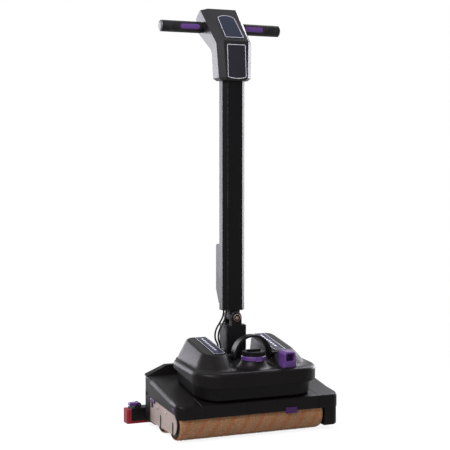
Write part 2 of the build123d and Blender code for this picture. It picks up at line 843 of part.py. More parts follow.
def tank_side(lift, drop):
    """Side outline of the tank: from the deck's slope raised by lift to the lid's top lowered by drop."""
    return [
        (lid_front, slope_z(lid_front) + lift),
        (lid_front, lid_high_z(lid_front) - drop),
        (deck_rear, lid_high_z(deck_rear) - drop),
        (deck_rear, slope_z(deck_rear) + lift),
    ]


tank_forms = []
for inset in (0.0, tank_wall):
    with BuildPart() as tank_form:
        for height in (tank_low, lid_high_z(lid_rear)):
            centre, width, depth, corner = tank_section(height, inset)
            with BuildSketch(Plane.XY.offset(height)):
                with Locations(centre):
                    RectangleRounded(width, depth, corner)
        loft()
        with BuildSketch(Plane.YZ):
            with BuildLine():
                Polyline(tank_side(gap + inset, lid_round - inset), close=True)
            make_face()
        extrude(amount=lid_half, both=True, mode=Mode.INTERSECT)
        fillet(tank_form.faces().sort_by(Axis.Z)[0].edges(), tank_round - inset)
        with Locations((0, notch_front - body_notch - inset + lid_half, lid_front_high)):
            Box(2 * (notch_half + body_notch + inset), 2 * lid_half, 2 * lid_half, mode=Mode.SUBTRACT)
    tank_forms.append(tank_form.part)

with BuildPart() as tank_body:
    add(tank_forms[0])
    add(tank_forms[1], mode=Mode.SUBTRACT)
tank_body.part.label = "tank_body"
export_step(tank_body.part, "parts/tank_body.step")

# Tank lid with its two pods, the mound of the filler neck and the bosses of the arch handle
lid_mid = (lid_front + lid_rear) / 2
neck_shoulder_z = lid_high_z(neck_y) + neck_mound_height
neck_top_z = neck_shoulder_z + collar_height + cap_height - cap_wall - 2 * gap
bail_boss_radius = 6.0
pod_slope = radians(pod_pitch)
pod_normal = Vector(0, -sin(pod_slope), cos(pod_slope))
pod_base_normal = Vector(0, -sin(radians(lid_high_pitch)), cos(radians(lid_high_pitch)))


def pod_sections(side, inset):
    """Base and top plane of one pod, with the widths, lengths and corners of its two sections."""
    base_width = pod_outer - pod_inner - 2 * inset
    base_length = pod_rear - pod_front - 2 * inset
    base_y = (pod_front + pod_rear) / 2
    base_centre = Vector((pod_outer + pod_inner) / 2 * side, base_y, lid_high_z(base_y) - 1)
    base = Plane(origin=base_centre - pod_base_normal * inset, x_dir=(1, 0, 0), z_dir=pod_base_normal)
    centre = Vector(side * pod_top_x, pod_top_y, pod_top_z)
    top = Plane(origin=centre - pod_normal * inset, x_dir=(1, 0, 0), z_dir=pod_normal)
    return (
        (base, base_width, base_length, pod_corner - inset),
        (top, pod_top_width - 2 * inset, pod_top_length - 2 * inset, pod_top_corner - inset),
    )


def lid_side(low, drop):
    """Side outline of the lid, lengthened downwards by low and lowered at its top by drop."""
    return [
        (lid_front, lid_low_z(lid_front) - low),
        (lid_front, lid_high_z(lid_front) - drop),
        (lid_rear, lid_high_z(lid_rear) - drop),
        (lid_rear, lid_low_z(lid_rear) - low),
    ]


# The outside, then the pocket that takes the tank's rim and the shallower one within it
lid_forms = []
for inset, drop in ((0.0, 0.0), (tank_wall, lid_round), (lid_round, tank_wall)):
    with BuildPart() as lid_form:
        with BuildSketch():
            with Locations((0, lid_mid)):
                RectangleRounded(2 * (lid_half - inset), lid_rear - lid_front - 2 * inset, lid_corner - inset)
        extrude(amount=2 * lid_half)
        with BuildSketch(Plane.YZ):
            with BuildLine():
                Polyline(lid_side(drop, drop), close=True)
            make_face()
        extrude(amount=2 * lid_half, both=True, mode=Mode.INTERSECT)
        if inset == 0:
            fillet(lid_form.faces().sort_by(Axis.Z)[-1].edges(), lid_round)
        notch_wall = min(inset, tank_wall)
        with Locations((0, notch_front - notch_wall + lid_half, lid_front_high)):
            Box(2 * (notch_half + notch_wall), 2 * lid_half, 2 * lid_half, mode=Mode.SUBTRACT)
    lid_forms.append(lid_form.part)

pod_forms = []
for side in (-1, 1):
    with BuildPart() as pod:
        for plane, width, length, corner in pod_sections(side, 0):
            with BuildSketch(plane):
                RectangleRounded(width, length, corner)
        loft()
        fillet(pod.faces().sort_by(Axis.Z)[-1].edges(), pod_round)
    pod_forms.append(pod.part)

with BuildPart() as tank_lid:
    add(lid_forms[0])
    add(pod_forms)
    # Mound of the neck: a hollow curve below, a round shoulder above
    with BuildSketch(Plane.YZ):
        with BuildLine():
            mound_foot_z = lid_high_z(neck_y - neck_mound_radius) - 1
            shoulder = (neck_y - collar_radius, neck_shoulder_z)
            axis_line = Polyline(
                (neck_y - neck_mound_radius, mound_foot_z), (neck_y, mound_foot_z), (neck_y, neck_shoulder_z), shoulder
            )
            flank = ((neck_mound_radius + 2 * collar_radius) / 3, (2 * mound_foot_z + neck_shoulder_z) / 3)
            ThreePointArc(shoulder, (neck_y - flank[0], flank[1]), axis_line @ 0)
        make_face()
    revolve(axis=Axis((0, neck_y, 0), (0, 0, 1)))
    with Locations((0, neck_y, (lid_front_high + neck_top_z) / 2)):
        Cylinder(neck_radius, neck_top_z - lid_front_high)
    for side in (-1, 1):
        boss_start = bail_half + bail_thickness + gap
        boss_mid = (boss_start + pod_top_x) / 2
        with Locations(Location((side * boss_mid, bail_y, bail_pivot_z), (0, 90, 0))):
            Cylinder(bail_boss_radius, pod_top_x - boss_start)
    add(lid_forms[1:], mode=Mode.SUBTRACT)
    for side in (-1, 1):
        for plane, width, length, corner in pod_sections(side, pod_round - tank_wall):
            with BuildSketch(plane):
                RectangleRounded(width, length, corner)
        loft(mode=Mode.SUBTRACT)
    with Locations((0, notch_front + lid_half, lid_front_high)):
        Box(2 * notch_half, 2 * lid_half, 2 * lid_half, mode=Mode.SUBTRACT)
    with Locations((0, neck_y, lid_front_high)):
        Cylinder(neck_bore, lid_half, mode=Mode.SUBTRACT)
    for side in (-1, 1):
        pin_length = bail_thickness + 4 * gap
        pin_mid = bail_half + bail_thickness / 2
        with Locations(Location((side * pin_mid, bail_y, bail_pivot_z), (0, 90, 0))):
            Cylinder(bail_pin_radius, pin_length)
tank_lid.part.label = "tank_lid"
export_step(tank_lid.part, "parts/tank_lid.step")

with BuildPart() as pod_plates:
    for side in (-1, 1):
        with BuildSketch(pod_sections(side, 0)[1][0]):
            with Locations((side * (pod_plate_x - pod_top_x), 0)):
                RectangleRounded(pod_plate_width, pod_plate_length, 3)
        extrude(amount=pod_plate_thickness)
pod_plates.part.label = "pod_plates"
export_step(pod_plates.part, "parts/pod_plates.step")

with BuildPart() as neck_collar:
    with Locations((0, neck_y, neck_shoulder_z + collar_height / 2)):
        Cylinder(collar_radius, collar_height)
        Cylinder(neck_radius + running_fit, collar_height, mode=Mode.SUBTRACT)
    outer_edges = neck_collar.edges().filter_by(GeomType.CIRCLE).sort_by(SortBy.RADIUS)[-2:]
    chamfer(outer_edges, 1.5)
    with Locations((0, neck_y - collar_radius, neck_shoulder_z + collar_height / 2)):
        Box(collar_tab, collar_tab / 2, collar_height)
    with Locations((0, neck_y, neck_shoulder_z + collar_height / 2)):
        Cylinder(neck_radius + running_fit, collar_height, mode=Mode.SUBTRACT)
neck_collar.part.label = "neck_collar"
export_step(neck_collar.part, "parts/neck_collar.step")

cap_low = neck_shoulder_z + collar_height + gap
with BuildPart() as tank_cap:
    with Locations((0, neck_y, cap_low + cap_height / 2)):
        Cylinder(cap_radius, cap_height)
        with PolarLocations(cap_radius, cap_ribs):
            Cylinder(cap_rib_radius, cap_height)
    with Locations((0, neck_y, cap_low + cap_height)):
        Box(2 * cap_radius - 3 * cap_bar, cap_bar, 2 * cap_bar_height)
    with Locations((0, neck_y, cap_low + (neck_top_z + gap - cap_low) / 2)):
        Cylinder(neck_radius + gap, neck_top_z + gap - cap_low, mode=Mode.SUBTRACT)
tank_cap.part.label = "tank_cap"
export_step(tank_cap.part, "parts/tank_cap.step")

# Arch handle over the neck
with BuildPart() as bail:
    with BuildSketch(Plane.XZ.offset(-bail_y)):
        with Locations((0, bail_pivot_z)):
            Circle(bail_half + bail_thickness)
            Circle(bail_half, mode=Mode.SUBTRACT)
            with Locations((0, -bail_half)):
                Rectangle(4 * bail_half, 2 * bail_half, mode=Mode.SUBTRACT)
    extrude(amount=bail_width / 2, both=True)
    for side in (-1, 1):
        with Locations(Location((side * (bail_half + bail_thickness / 2), bail_y, bail_pivot_z), (0, 90, 0))):
            Cylinder(bail_width / 2, bail_thickness)
            Cylinder(bail_pin_radius + running_fit, 2 * bail_thickness, mode=Mode.SUBTRACT)
bail.part.label = "carry_handle"
export_step(bail.part, "parts/carry_handle.step")

# Spout in front of the right pod
with BuildPart() as spout:
    spout_mid = spout_front + spout_length / 2
    spout_top_z = spout_floor_z + spout_height
    spout_foot_z = lid_high_z(spout_front) - skin
    with BuildSketch(Plane.XY.offset(spout_foot_z)):
        with Locations((spout_x, spout_mid)):
            RectangleRounded(spout_foot_width, spout_length, 8)
    with BuildSketch(Plane.XY.offset(spout_floor_z + spout_height / 3)):
        with Locations((spout_x, spout_mid)):
            RectangleRounded(spout_width, spout_length, 6)
    loft()
    with BuildSketch(Plane.XZ.offset(-spout_front)):
        with Locations((spout_x, (spout_floor_z + spout_top_z) / 2)):
            RectangleRounded(spout_width, spout_height, 9)
    extrude(amount=-spout_length)
    with BuildSketch(Plane.XZ.offset(-spout_front)):
        with Locations((spout_x, (spout_floor_z + spout_top_z) / 2 + 1)):
            RectangleRounded(spout_width - 2 * spout_wall, spout_height - 2 * spout_wall - 2, 4)
    extrude(amount=-spout_length + spout_wall, mode=Mode.SUBTRACT)
    for plane, width, length, corner in pod_sections(1, -gap):
        with BuildSketch(plane):
            RectangleRounded(width, length, corner)
    loft(mode=Mode.SUBTRACT)
    with BuildSketch(Plane.YZ):
        with BuildLine():
            Polyline(lid_side(0, -gap), close=True)
        make_face()
    extrude(amount=lid_half, mode=Mode.SUBTRACT)
spout.part.label = "fill_spout"
export_step(spout.part, "parts/fill_spout.step")

# Pivot bracket on the chassis
with BuildPart() as bracket:
    with Locations((0, (bracket_front + bracket_rear) / 2, roof_top + bracket_foot / 2)):
        Box(2 * bracket_half, bracket_rear - bracket_front, bracket_foot)
    for side in (-1, 1):
        with BuildSketch(Plane.YZ.offset(side * (barrel_half + gap + bracket_wall / 2))):
            with BuildLine():
                Polyline(
                    (bracket_front + 4, roof_top + bracket_foot),
                    (tilt_y - barrel_radius, tilt_z),
                    (tilt_y + barrel_radius, tilt_z),
                    (bracket_rear - 4, roof_top + bracket_foot),
                    close=True,
                )
            make_face()
            with Locations((tilt_y, tilt_z)):
                Circle(barrel_radius)
                Circle(tilt_pin_radius + running_fit, mode=Mode.SUBTRACT)
        extrude(amount=bracket_wall / 2, both=True)
bracket.part.label = "pivot_bracket"
export_step(bracket.part, "parts/pivot_bracket.step")

with BuildPart() as tilt_pin:
    with Locations(Location((0, tilt_y, tilt_z), (0, 90, 0))):
        Cylinder(tilt_pin_radius, 2 * (barrel_half + gap + bracket_wall))
    for side in (-1, 1):
        head_x = barrel_half + gap + bracket_wall + 1.5
        with Locations(Location((side * head_x, tilt_y, tilt_z), (0, 90, 0))):
            Cylinder(tilt_pin_radius + 2.5, 3)
tilt_pin.part.label = "tilt_pin"
export_step(tilt_pin.part, "parts/tilt_pin.step")

# Yoke: barrel on the tilt pin, column, and two ears that hold the pole's bolt
yoke_front = tilt_y - yoke_depth / 2
yoke_rear = tilt_y + yoke_depth / 2
yoke_low = tilt_z + 8.0
ears = ((yoke_front, ear_front), (yoke_rear - ear_rear, ear_rear))

with BuildPart() as yoke:
    with Locations(Location((0, tilt_y, tilt_z), (0, 90, 0))):
        Cylinder(barrel_radius, 2 * barrel_half)
    with BuildSketch(Plane.YZ):
        with BuildLine():
            Polyline(
                (tilt_y - barrel_radius + 1, tilt_z),
                (yoke_front, yoke_low + 2 * barrel_radius),
                (yoke_front, yoke_shoulder_z),
                (yoke_rear, yoke_shoulder_z),
                (yoke_rear, yoke_low + 2 * barrel_radius),
                (tilt_y + barrel_radius - 1, tilt_z),
                close=True,
            )
        make_face()
    extrude(amount=yoke_half, both=True)
    for start, thick in ears:
        with BuildSketch(Plane.XZ.offset(-start)):
            with Locations((0, swing_z)):
                Circle(ear_radius)
            with Locations((0, (swing_z + yoke_shoulder_z) / 2)):
                Rectangle(2 * ear_radius, swing_z - yoke_shoulder_z)
        extrude(amount=-thick)
    with Locations(Location((0, tilt_y, swing_z), (90, 0, 0))):
        Cylinder(bolt_radius + running_fit, 2 * yoke_depth, mode=Mode.SUBTRACT)
    with Locations(Location((0, tilt_y, tilt_z), (0, 90, 0))):
        Cylinder(tilt_pin_radius + running_fit, 4 * barrel_half, mode=Mode.SUBTRACT)
    # Gland for the cables
    gland_outer = gland_x + 2 * cable_radius
    gland_mid_y = (cable_places[0][0] + cable_places[1][0]) / 2
    gland_depth = cable_places[1][0] - cable_places[0][0] + 5 * cable_radius
    with Locations((-gland_outer / 2, gland_mid_y, gland_top - gland_height / 2)):
        Box(gland_outer, gland_depth, gland_height)
yoke.part.label = "yoke"
export_step(yoke.part, "parts/yoke.step")

with BuildPart() as bolt:
    with Locations(Location((0, tilt_y, swing_z), (90, 0, 0))):
        Cylinder(bolt_radius, yoke_depth)
    with Locations(Location((0, yoke_front - bolt_head / 2, swing_z), (90, 0, 0))):
        Cylinder(bolt_head_radius, bolt_head)
    with BuildSketch(Plane.XZ.offset(-yoke_rear)):
        with Locations((0, swing_z)):
            RegularPolygon(bolt_head_radius, 6)
    extrude(amount=-bolt_head)
    with BuildSketch(Plane.XZ.offset(-(yoke_front - bolt_head))):
        with Locations((0, swing_z)):
            RegularPolygon(bolt_head_radius / 2, 6)
    extrude(amount=-bolt_head / 2, mode=Mode.SUBTRACT)
bolt.part.label = "pivot_bolt"
export_step(bolt.part, "parts/pivot_bolt.step")

# Outline of the pole, with bevelled front edges
pole_mid = pole_front + pole_depth / 2
with BuildSketch() as pole_outline:
    with Locations((0, pole_mid)):
        Rectangle(pole_width, pole_depth)
    chamfer(pole_outline.vertices().group_by(Axis.Y)[0], pole_bevel)
    fillet(pole_outline.vertices().group_by(Axis.Y)[-1], pole_corner)

# Pole foot: a tongue between the ears and a plug in the pole
tongue_front = yoke_front + ear_front + gap
tongue_rear = yoke_rear - ear_rear - gap
tongue_radius = ear_radius - 1
with BuildPart() as pole_foot:
    with BuildSketch(Plane.XY.offset(pole_bottom)):
        add(pole_outline.sketch)
        offset(amount=-pole_wall - gap, kind=Kind.INTERSECTION, mode=Mode.REPLACE)
    extrude(amount=foot_length)
    with BuildSketch(Plane.XZ.offset(-tongue_front)):
        with Locations((0, swing_z)):
            Circle(tongue_radius)
        with Locations((0, (swing_z + pole_bottom) / 2)):
            Rectangle(2 * tongue_radius, pole_bottom - swing_z)
    extrude(amount=-(tongue_rear - tongue_front))
    with Locations(Location((0, tilt_y, swing_z), (90, 0, 0))):
        Cylinder(bolt_radius + running_fit, 2 * yoke_depth, mode=Mode.SUBTRACT)
pole_foot.part.label = "pole_foot"
export_step(pole_foot.part, "parts/pole_foot.step")

with BuildPart() as pole:
    with BuildSketch(Plane.XY.offset(pole_bottom)):
        add(pole_outline.sketch)
        offset(amount=-pole_wall, kind=Kind.INTERSECTION, mode=Mode.SUBTRACT)
    extrude(amount=pole_top - pole_bottom)
pole.part.label = "pole"
export_step(pole.part, "parts/pole.step")

# The two cables that bow out from the pole foot to the gland on the yoke's side


def cable_points(y, bow):
    """Course of one cable from the pole foot down to the gland."""
    return [
        (-cable_start_x, y, pole_bottom),
        (-cable_start_x, y, pole_bottom - 14),
        (-30 - bow / 2, y, 274),
        (-40 - bow, y, 258),
        (-45 - bow, y, 242),
        (-44 - bow, y, 226),
        (-gland_x, y, 211),
        (-gland_x, y, gland_top),
    ]


def bend_radii(points):
    """Largest bend at each corner that leaves both runs a tenth of their length straight."""
    radii = []
    for before, here, after in zip(points, points[1:], points[2:]):
        run_in = Vector(*here) - Vector(*before)
        run_out = Vector(*after) - Vector(*here)
        half_turn = radians(run_in.get_angle(run_out)) / 2
        radii.append(0.45 * min(run_in.length, run_out.length) / tan(half_turn))
    return radii


for number, (y, bow) in enumerate(cable_places):
    place = ("front", "rear")[number]
    course_points = cable_points(y, bow)
    course_radii = bend_radii(course_points)
    print(place, "cable bend radii", [round(radius, 1) for radius in course_radii])
    with BuildPart() as cable:
        with BuildLine():
            course = FilletPolyline(course_points, radius=course_radii)
        with BuildSketch(Plane(origin=course @ 0, z_dir=course % 0)):
            Circle(cable_radius)
        sweep(path=course)
    cable.part.label = place + "_cable"
    export_step(cable.part, "parts/" + place + "_cable.step")

# Battery and its cradle on the pole's back
pole_rear = pole_front + pole_depth
battery_front = pole_rear + cradle_wall + gap
shelf_z = battery_bottom - gap
with BuildPart() as cradle:
    back_low = shelf_z - shelf_wall
    back_high = battery_bottom + battery_length
    with Locations((0, pole_rear + cradle_wall / 2, (back_low + back_high) / 2)):
        Box(cradle_width, cradle_wall, back_high - back_low)
    shelf_reach = cradle_wall + battery_depth - battery_bevel
    with Locations((0, pole_rear + shelf_reach / 2, shelf_z - shelf_wall / 2)):
        Box(cradle_width, shelf_reach, shelf_wall)
cradle.part.label = "battery_cradle"
export_step(cradle.part, "parts/battery_cradle.step")

with BuildPart() as battery:
    with BuildSketch(Plane.YZ):
        with BuildLine():
            Polyline(
                (battery_front, battery_bottom),
                (battery_front + battery_depth - battery_bevel, battery_bottom),
                (battery_front + battery_depth, battery_bottom + 2 * battery_bevel),
                (battery_front + battery_depth, battery_bottom + battery_length - 8),
                (battery_front + battery_depth - 8, battery_bottom + battery_length),
                (battery_front, battery_bottom + battery_length),
                close=True,
            )
        make_face()
    extrude(amount=battery_width / 2, both=True)
    fillet(battery.edges().filter_by(Axis.Z).group_by(Axis.Y)[-1], 4)
battery.part.label = "battery"
export_step(battery.part, "parts/battery.step")

# Head
# The side outline is made a hollow block, its front edges bevelled, then split along the seam.
head_outline = (
    (head_front_y, head_bottom),
    (14.0, 1026.0),
    (111.0, head_top),
    (136.0, 1117.0),
    (164.0, 1098.0),
    (148.0, 1056.0),
    (72.0, 1008.0),
    (head_rear_y, 995.0),
    (head_rear_y, head_bottom),
)
seam_line = ((32.0, head_bottom), (38.0, 1014.0), (132.0, 1117.5))
seam_slope = (seam_line[2][1] - seam_line[1][1]) / (seam_line[2][0] - seam_line[1][0])


def head_half_at(z):
    """Half the head's width at a height; it widens upwards."""
    return head_bottom_half + (head_half - head_bottom_half) * (z - head_bottom) / (head_top - head_bottom)


def head_front_view(inset):
    """The head seen from the front, set inwards by inset at its sides."""
    low, high = head_bottom_half - inset, head_half - inset
    return [(low, head_bottom), (high, head_top), (-high, head_top), (-low, head_bottom)]


def along(first, last):
    """Unit direction from one point of the side outline to the next, and its outward normal."""
    length = hypot(last[0] - first[0], last[1] - first[1])
    run = ((last[0] - first[0]) / length, (last[1] - first[1]) / length)
    return run, (-run[1], run[0])


def on_front(edge):
    """True for the long edges at the sides of the head's two front faces."""
    middle = edge.center()
    lower = middle.Y < pole_front and middle.Z > head_bottom + 2 * head_wall
    upper = middle.Z > head_outline[1][1] + 4 * head_wall and middle.Y < head_outline[2][0] - 4 * head_wall
    return abs(middle.X) > head_half / 2 and edge.length > head_half and (lower or upper)


with BuildPart() as head_void:
    with BuildSketch(Plane.YZ):
        with BuildLine():
            Polyline(head_outline, close=True)
        make_face()
        offset(amount=-head_wall, kind=Kind.INTERSECTION, mode=Mode.REPLACE)
    extrude(amount=head_half, both=True)
    with BuildSketch(Plane.XZ):
        with BuildLine():
            Polyline(head_front_view(head_wall), close=True)
        make_face()
    extrude(amount=head_top, both=True, mode=Mode.INTERSECT)
    chamfer(head_void.edges().filter_by(on_front), head_bevel - head_wall / 2)
    chamfer(head_void.faces().sort_by(Axis.Z)[0].edges(), head_foot_bevel - head_wall / 2)

with BuildPart() as head_block:
    with BuildSketch(Plane.YZ):
        with BuildLine():
            Polyline(head_outline, close=True)
        make_face()
    extrude(amount=head_half, both=True)
    with BuildSketch(Plane.XZ):
        with BuildLine():
            Polyline(head_front_view(0), close=True)
        make_face()
    extrude(amount=head_top, both=True, mode=Mode.INTERSECT)
    chamfer(head_block.edges().filter_by(on_front), head_bevel)
    chamfer(head_block.faces().sort_by(Axis.Z)[0].edges(), head_foot_bevel)
    add(head_void.part, mode=Mode.SUBTRACT)
    with BuildSketch(Plane.XY.offset(head_bottom)):
        add(pole_outline.sketch)
        offset(amount=gap, kind=Kind.INTERSECTION, mode=Mode.REPLACE)
    extrude(amount=2 * head_foot_bevel, mode=Mode.SUBTRACT)
    # Sleeves that carry the bar out of the head
    with Locations(Location((0, bar_y, bar_z), (0, 90, 0))):
        for side in (-1, 1):
            sleeve_start = head_half_at(bar_z) - head_wall
            with Locations((0, 0, side * (sleeve_start + grip_start - gap) / 2)):
                Cylinder(sleeve_radius, grip_start - gap - sleeve_start)
        Cylinder(bar_radius + running_fit, 4 * head_half, mode=Mode.SUBTRACT)

seam_tail = (seam_line[2][0] + 20.0, seam_line[2][1] + 20.0 * seam_slope)
for label, shift, far in (("head_front", 0.0, -100.0), ("head_rear", gap, 300.0)):
    with BuildPart() as head_shell:
        add(head_block.part)
        with BuildSketch(Plane.YZ):
            with BuildLine():
                Polyline(
                    (seam_line[0][0] + shift, head_bottom - 20),
                    (seam_line[0][0] + shift, seam_line[0][1]),
                    (seam_line[1][0] + shift, seam_line[1][1]),
                    (seam_tail[0] + shift, seam_tail[1]),
                    (far, seam_tail[1] + 100),
                    (far, head_bottom - 20),
                    close=True,
                )
            make_face()
        extrude(amount=2 * head_half, both=True, mode=Mode.INTERSECT)
    head_shell.part.label = label
    export_step(head_shell.part, "parts/" + label + ".step")

# Panels on the head's two front faces
upper_run, upper_normal = along(head_outline[1], head_outline[2])
lower_run, lower_normal = along(head_outline[0], head_outline[1])
upper_plane = Plane(origin=(0, *head_outline[1]), x_dir=(1, 0, 0), z_dir=(0, upper_normal[0], upper_normal[1]))
lower_plane = Plane(origin=(0, *head_outline[0]), x_dir=(1, 0, 0), z_dir=(0, lower_normal[0], lower_normal[1]))
upper_panel_low = 12.0
upper_panel_high = 96.0
upper_panel_arch = 12.0
lower_panel_low = 8.0
lower_panel_high = 96.0
lower_panel_bulge = 4.0
panel_half = 27.0

with BuildPart() as upper_panel:
    with BuildSketch(upper_plane):
        with BuildLine():
            sides = Polyline(
                (-panel_half + 2, upper_panel_high),
                (-panel_half, upper_panel_low),
                (panel_half, upper_panel_low),
                (panel_half - 2, upper_panel_high),
            )
            ThreePointArc(sides @ 1, (0, upper_panel_high + upper_panel_arch), sides @ 0)
        make_face()
        fillet(vertices(), 3)
    extrude(amount=panel_thickness)
upper_panel.part.label = "upper_panel"
export_step(upper_panel.part, "parts/upper_panel.step")

with BuildPart() as lower_panel:
    with BuildSketch(lower_plane):
        with BuildLine():
            sides = Polyline(
                (-panel_half, lower_panel_low),
                (-panel_half, lower_panel_high),
                (panel_half, lower_panel_high),
                (panel_half, lower_panel_low),
            )
            ThreePointArc(sides @ 1, (0, lower_panel_low - lower_panel_bulge), sides @ 0)
        make_face()
        fillet(vertices(), 3)
    extrude(amount=panel_thickness)
lower_panel.part.label = "lower_panel"
export_step(lower_panel.part, "parts/lower_panel.step")

# T-bar, grips and the buttons in the grips
bar_half = grip_end - grip_cap - gap
with BuildPart() as bar:
    with Locations(Location((0, bar_y, bar_z), (0, 90, 0))):
        Cylinder(bar_radius, 2 * bar_half)
        Cylinder(bar_radius - 2, 2 * bar_half, mode=Mode.SUBTRACT)
bar.part.label = "handle_bar"
export_step(bar.part, "parts/handle_bar.step")

button_mid = button_start + button_length / 2
button_travel = 1.2
button_outer = grip_radius - slide_gap
button_inner = bar_radius + button_travel + 3 * gap
for place, side in (("left", -1), ("right", 1)):
    with BuildPart() as grip:
        with Locations(Location((side * (grip_start + grip_end) / 2, bar_y, bar_z), (0, 90, 0))):
            Cylinder(grip_radius, grip_end - grip_start)
        chamfer(grip.edges().filter_by(GeomType.CIRCLE), 2)
        with Locations(Location((side * (grip_start + bar_half + gap) / 2, bar_y, bar_z), (0, 90, 0))):
            Cylinder(bar_radius + running_fit, bar_half + gap - grip_start, mode=Mode.SUBTRACT)
        with BuildSketch(Plane.XZ.offset(-(bar_y - 2 * grip_radius))):
            with Locations((side * button_mid, bar_z)):
                SlotOverall(button_length + 2 * gap, button_width + 2 * gap)
        extrude(amount=-2 * grip_radius, mode=Mode.SUBTRACT)
    grip.part.label = place + "_grip"
    export_step(grip.part, "parts/" + place + "_grip.step")

    with BuildPart() as button:
        with BuildSketch(Plane.XZ.offset(-(bar_y - 2 * grip_radius))):
            with Locations((side * button_mid, bar_z)):
                SlotOverall(button_length, button_width)
        extrude(amount=-2 * grip_radius)
        with Locations(Location((side * button_mid, bar_y, bar_z), (0, 90, 0))):
            Cylinder(button_outer, 2 * button_length, mode=Mode.INTERSECT)
            Cylinder(button_inner, 2 * button_length, mode=Mode.SUBTRACT)
    button.part.label = place + "_button"
    export_step(button.part, "parts/" + place + "_button.step")

# Squeegee
holder_half = squeegee_half - blade_end_width
holder_rear = squeegee_rear - blade_wall
holder_front = holder_rear - holder_depth
holder_mid = (holder_front + holder_rear) / 2
lever_z = holder_high + lever_lift
lug_wall = (holder_depth - 2 * lever_half - 2 * gap) / 2

with BuildPart() as holder:
    with BuildSketch(Plane.YZ.offset(-holder_half)):
        with Locations((holder_mid, (holder_low + holder_high) / 2)):
            Rectangle(holder_depth, holder_high - holder_low)
        with Locations((holder_mid, holder_low)):
            Rectangle(holder_depth - 4 * skin, holder_high - holder_low - 4 * skin, mode=Mode.SUBTRACT)
        # Lip in front of the front blade
        with Locations((holder_front - blade_wall - holder_lip / 2, (holder_lip_low + holder_high) / 2)):
            Rectangle(holder_lip, holder_high - holder_lip_low)
        with Locations((holder_front - (blade_wall + holder_lip) / 2, holder_high - skin)):
            Rectangle(blade_wall + holder_lip, 2 * skin)
    extrude(amount=2 * holder_half)
    for side in (-1, 1):
        for y in (holder_front + lug_wall / 2, holder_rear - lug_wall / 2):
            with Locations((side * lever_x, y, (holder_high + lever_z) / 2)):
                Box(2 * lever_radius, lug_wall, lever_z - holder_high)
            with Locations(Location((side * lever_x, y, lever_z), (90, 0, 0))):
                Cylinder(lever_radius, lug_wall)
                Cylinder(lever_pin_radius + running_fit, 2 * lug_wall, mode=Mode.SUBTRACT)
    # Arms with their pivot pins
    for side in (-1, 1):
        with BuildSketch(Plane.YZ.offset(side * arm_x)):
            with Locations((arm_pivot_y, arm_pivot_z)):
                Circle(arm_radius)
            with Locations(((arm_pivot_y + holder_front) / 2, arm_pivot_z)):
                Rectangle(holder_front - arm_pivot_y, 2 * arm_radius)
        extrude(amount=arm_wall / 2, both=True)
        pin_mid = arm_x + arm_wall + gap / 2
        with Locations(Location((side * pin_mid, arm_pivot_y, arm_pivot_z), (0, 90, 0))):
            Cylinder(arm_pin_radius, arm_wall + gap)
holder.part.label = "squeegee_holder"
export_step(holder.part, "parts/squeegee_holder.step")

blades = (
    ("front_blade", holder_front - blade_wall, front_blade_high),
    ("rear_blade", holder_rear, rear_blade_high),
)
for label, y, high in blades:
    with BuildPart() as blade:
        with Locations((0, y + blade_wall / 2, high / 2)):
            Box(2 * holder_half, blade_wall, high)
    blade.part.label = label
    export_step(blade.part, "parts/" + label + ".step")

with BuildPart() as blade_ends:
    for side in (-1, 1):
        end_depth = holder_depth + 2 * blade_wall
        with Locations((side * (holder_half + blade_end_width / 2), holder_mid, blade_end_high / 2)):
            Box(blade_end_width, end_depth, blade_end_high)
    fillet(blade_ends.edges().filter_by(Axis.Z).group_by(Axis.X)[0], 5)
    fillet(blade_ends.edges().filter_by(Axis.Z).group_by(Axis.X)[-1], 5)
blade_ends.part.label = "blade_ends"
export_step(blade_ends.part, "parts/blade_ends.step")

for place, side in (("left", -1), ("right", 1)):
    with BuildPart() as lever:
        with BuildSketch(Plane.XZ.offset(-holder_mid)):
            with Locations((side * lever_x, lever_z)):
                Circle(lever_radius)
            with Locations((side * (lever_x + lever_length / 2), lever_z + 1)):
                RectangleRounded(lever_length, 2 * lever_radius - 3, 2)
        extrude(amount=lever_half, both=True)
        with Locations(Location((side * lever_x, holder_mid, lever_z), (90, 0, 0))):
            Cylinder(lever_pin_radius, holder_depth)
    lever.part.label = place + "_lever"
    export_step(lever.part, "parts/" + place + "_lever.step")
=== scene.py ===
"""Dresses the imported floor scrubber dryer: finishes, bristle pile, cables, trim, studio and camera."""

import json
import logging
import math
from dataclasses import dataclass, field
from enum import Enum
from typing import Sequence, Union

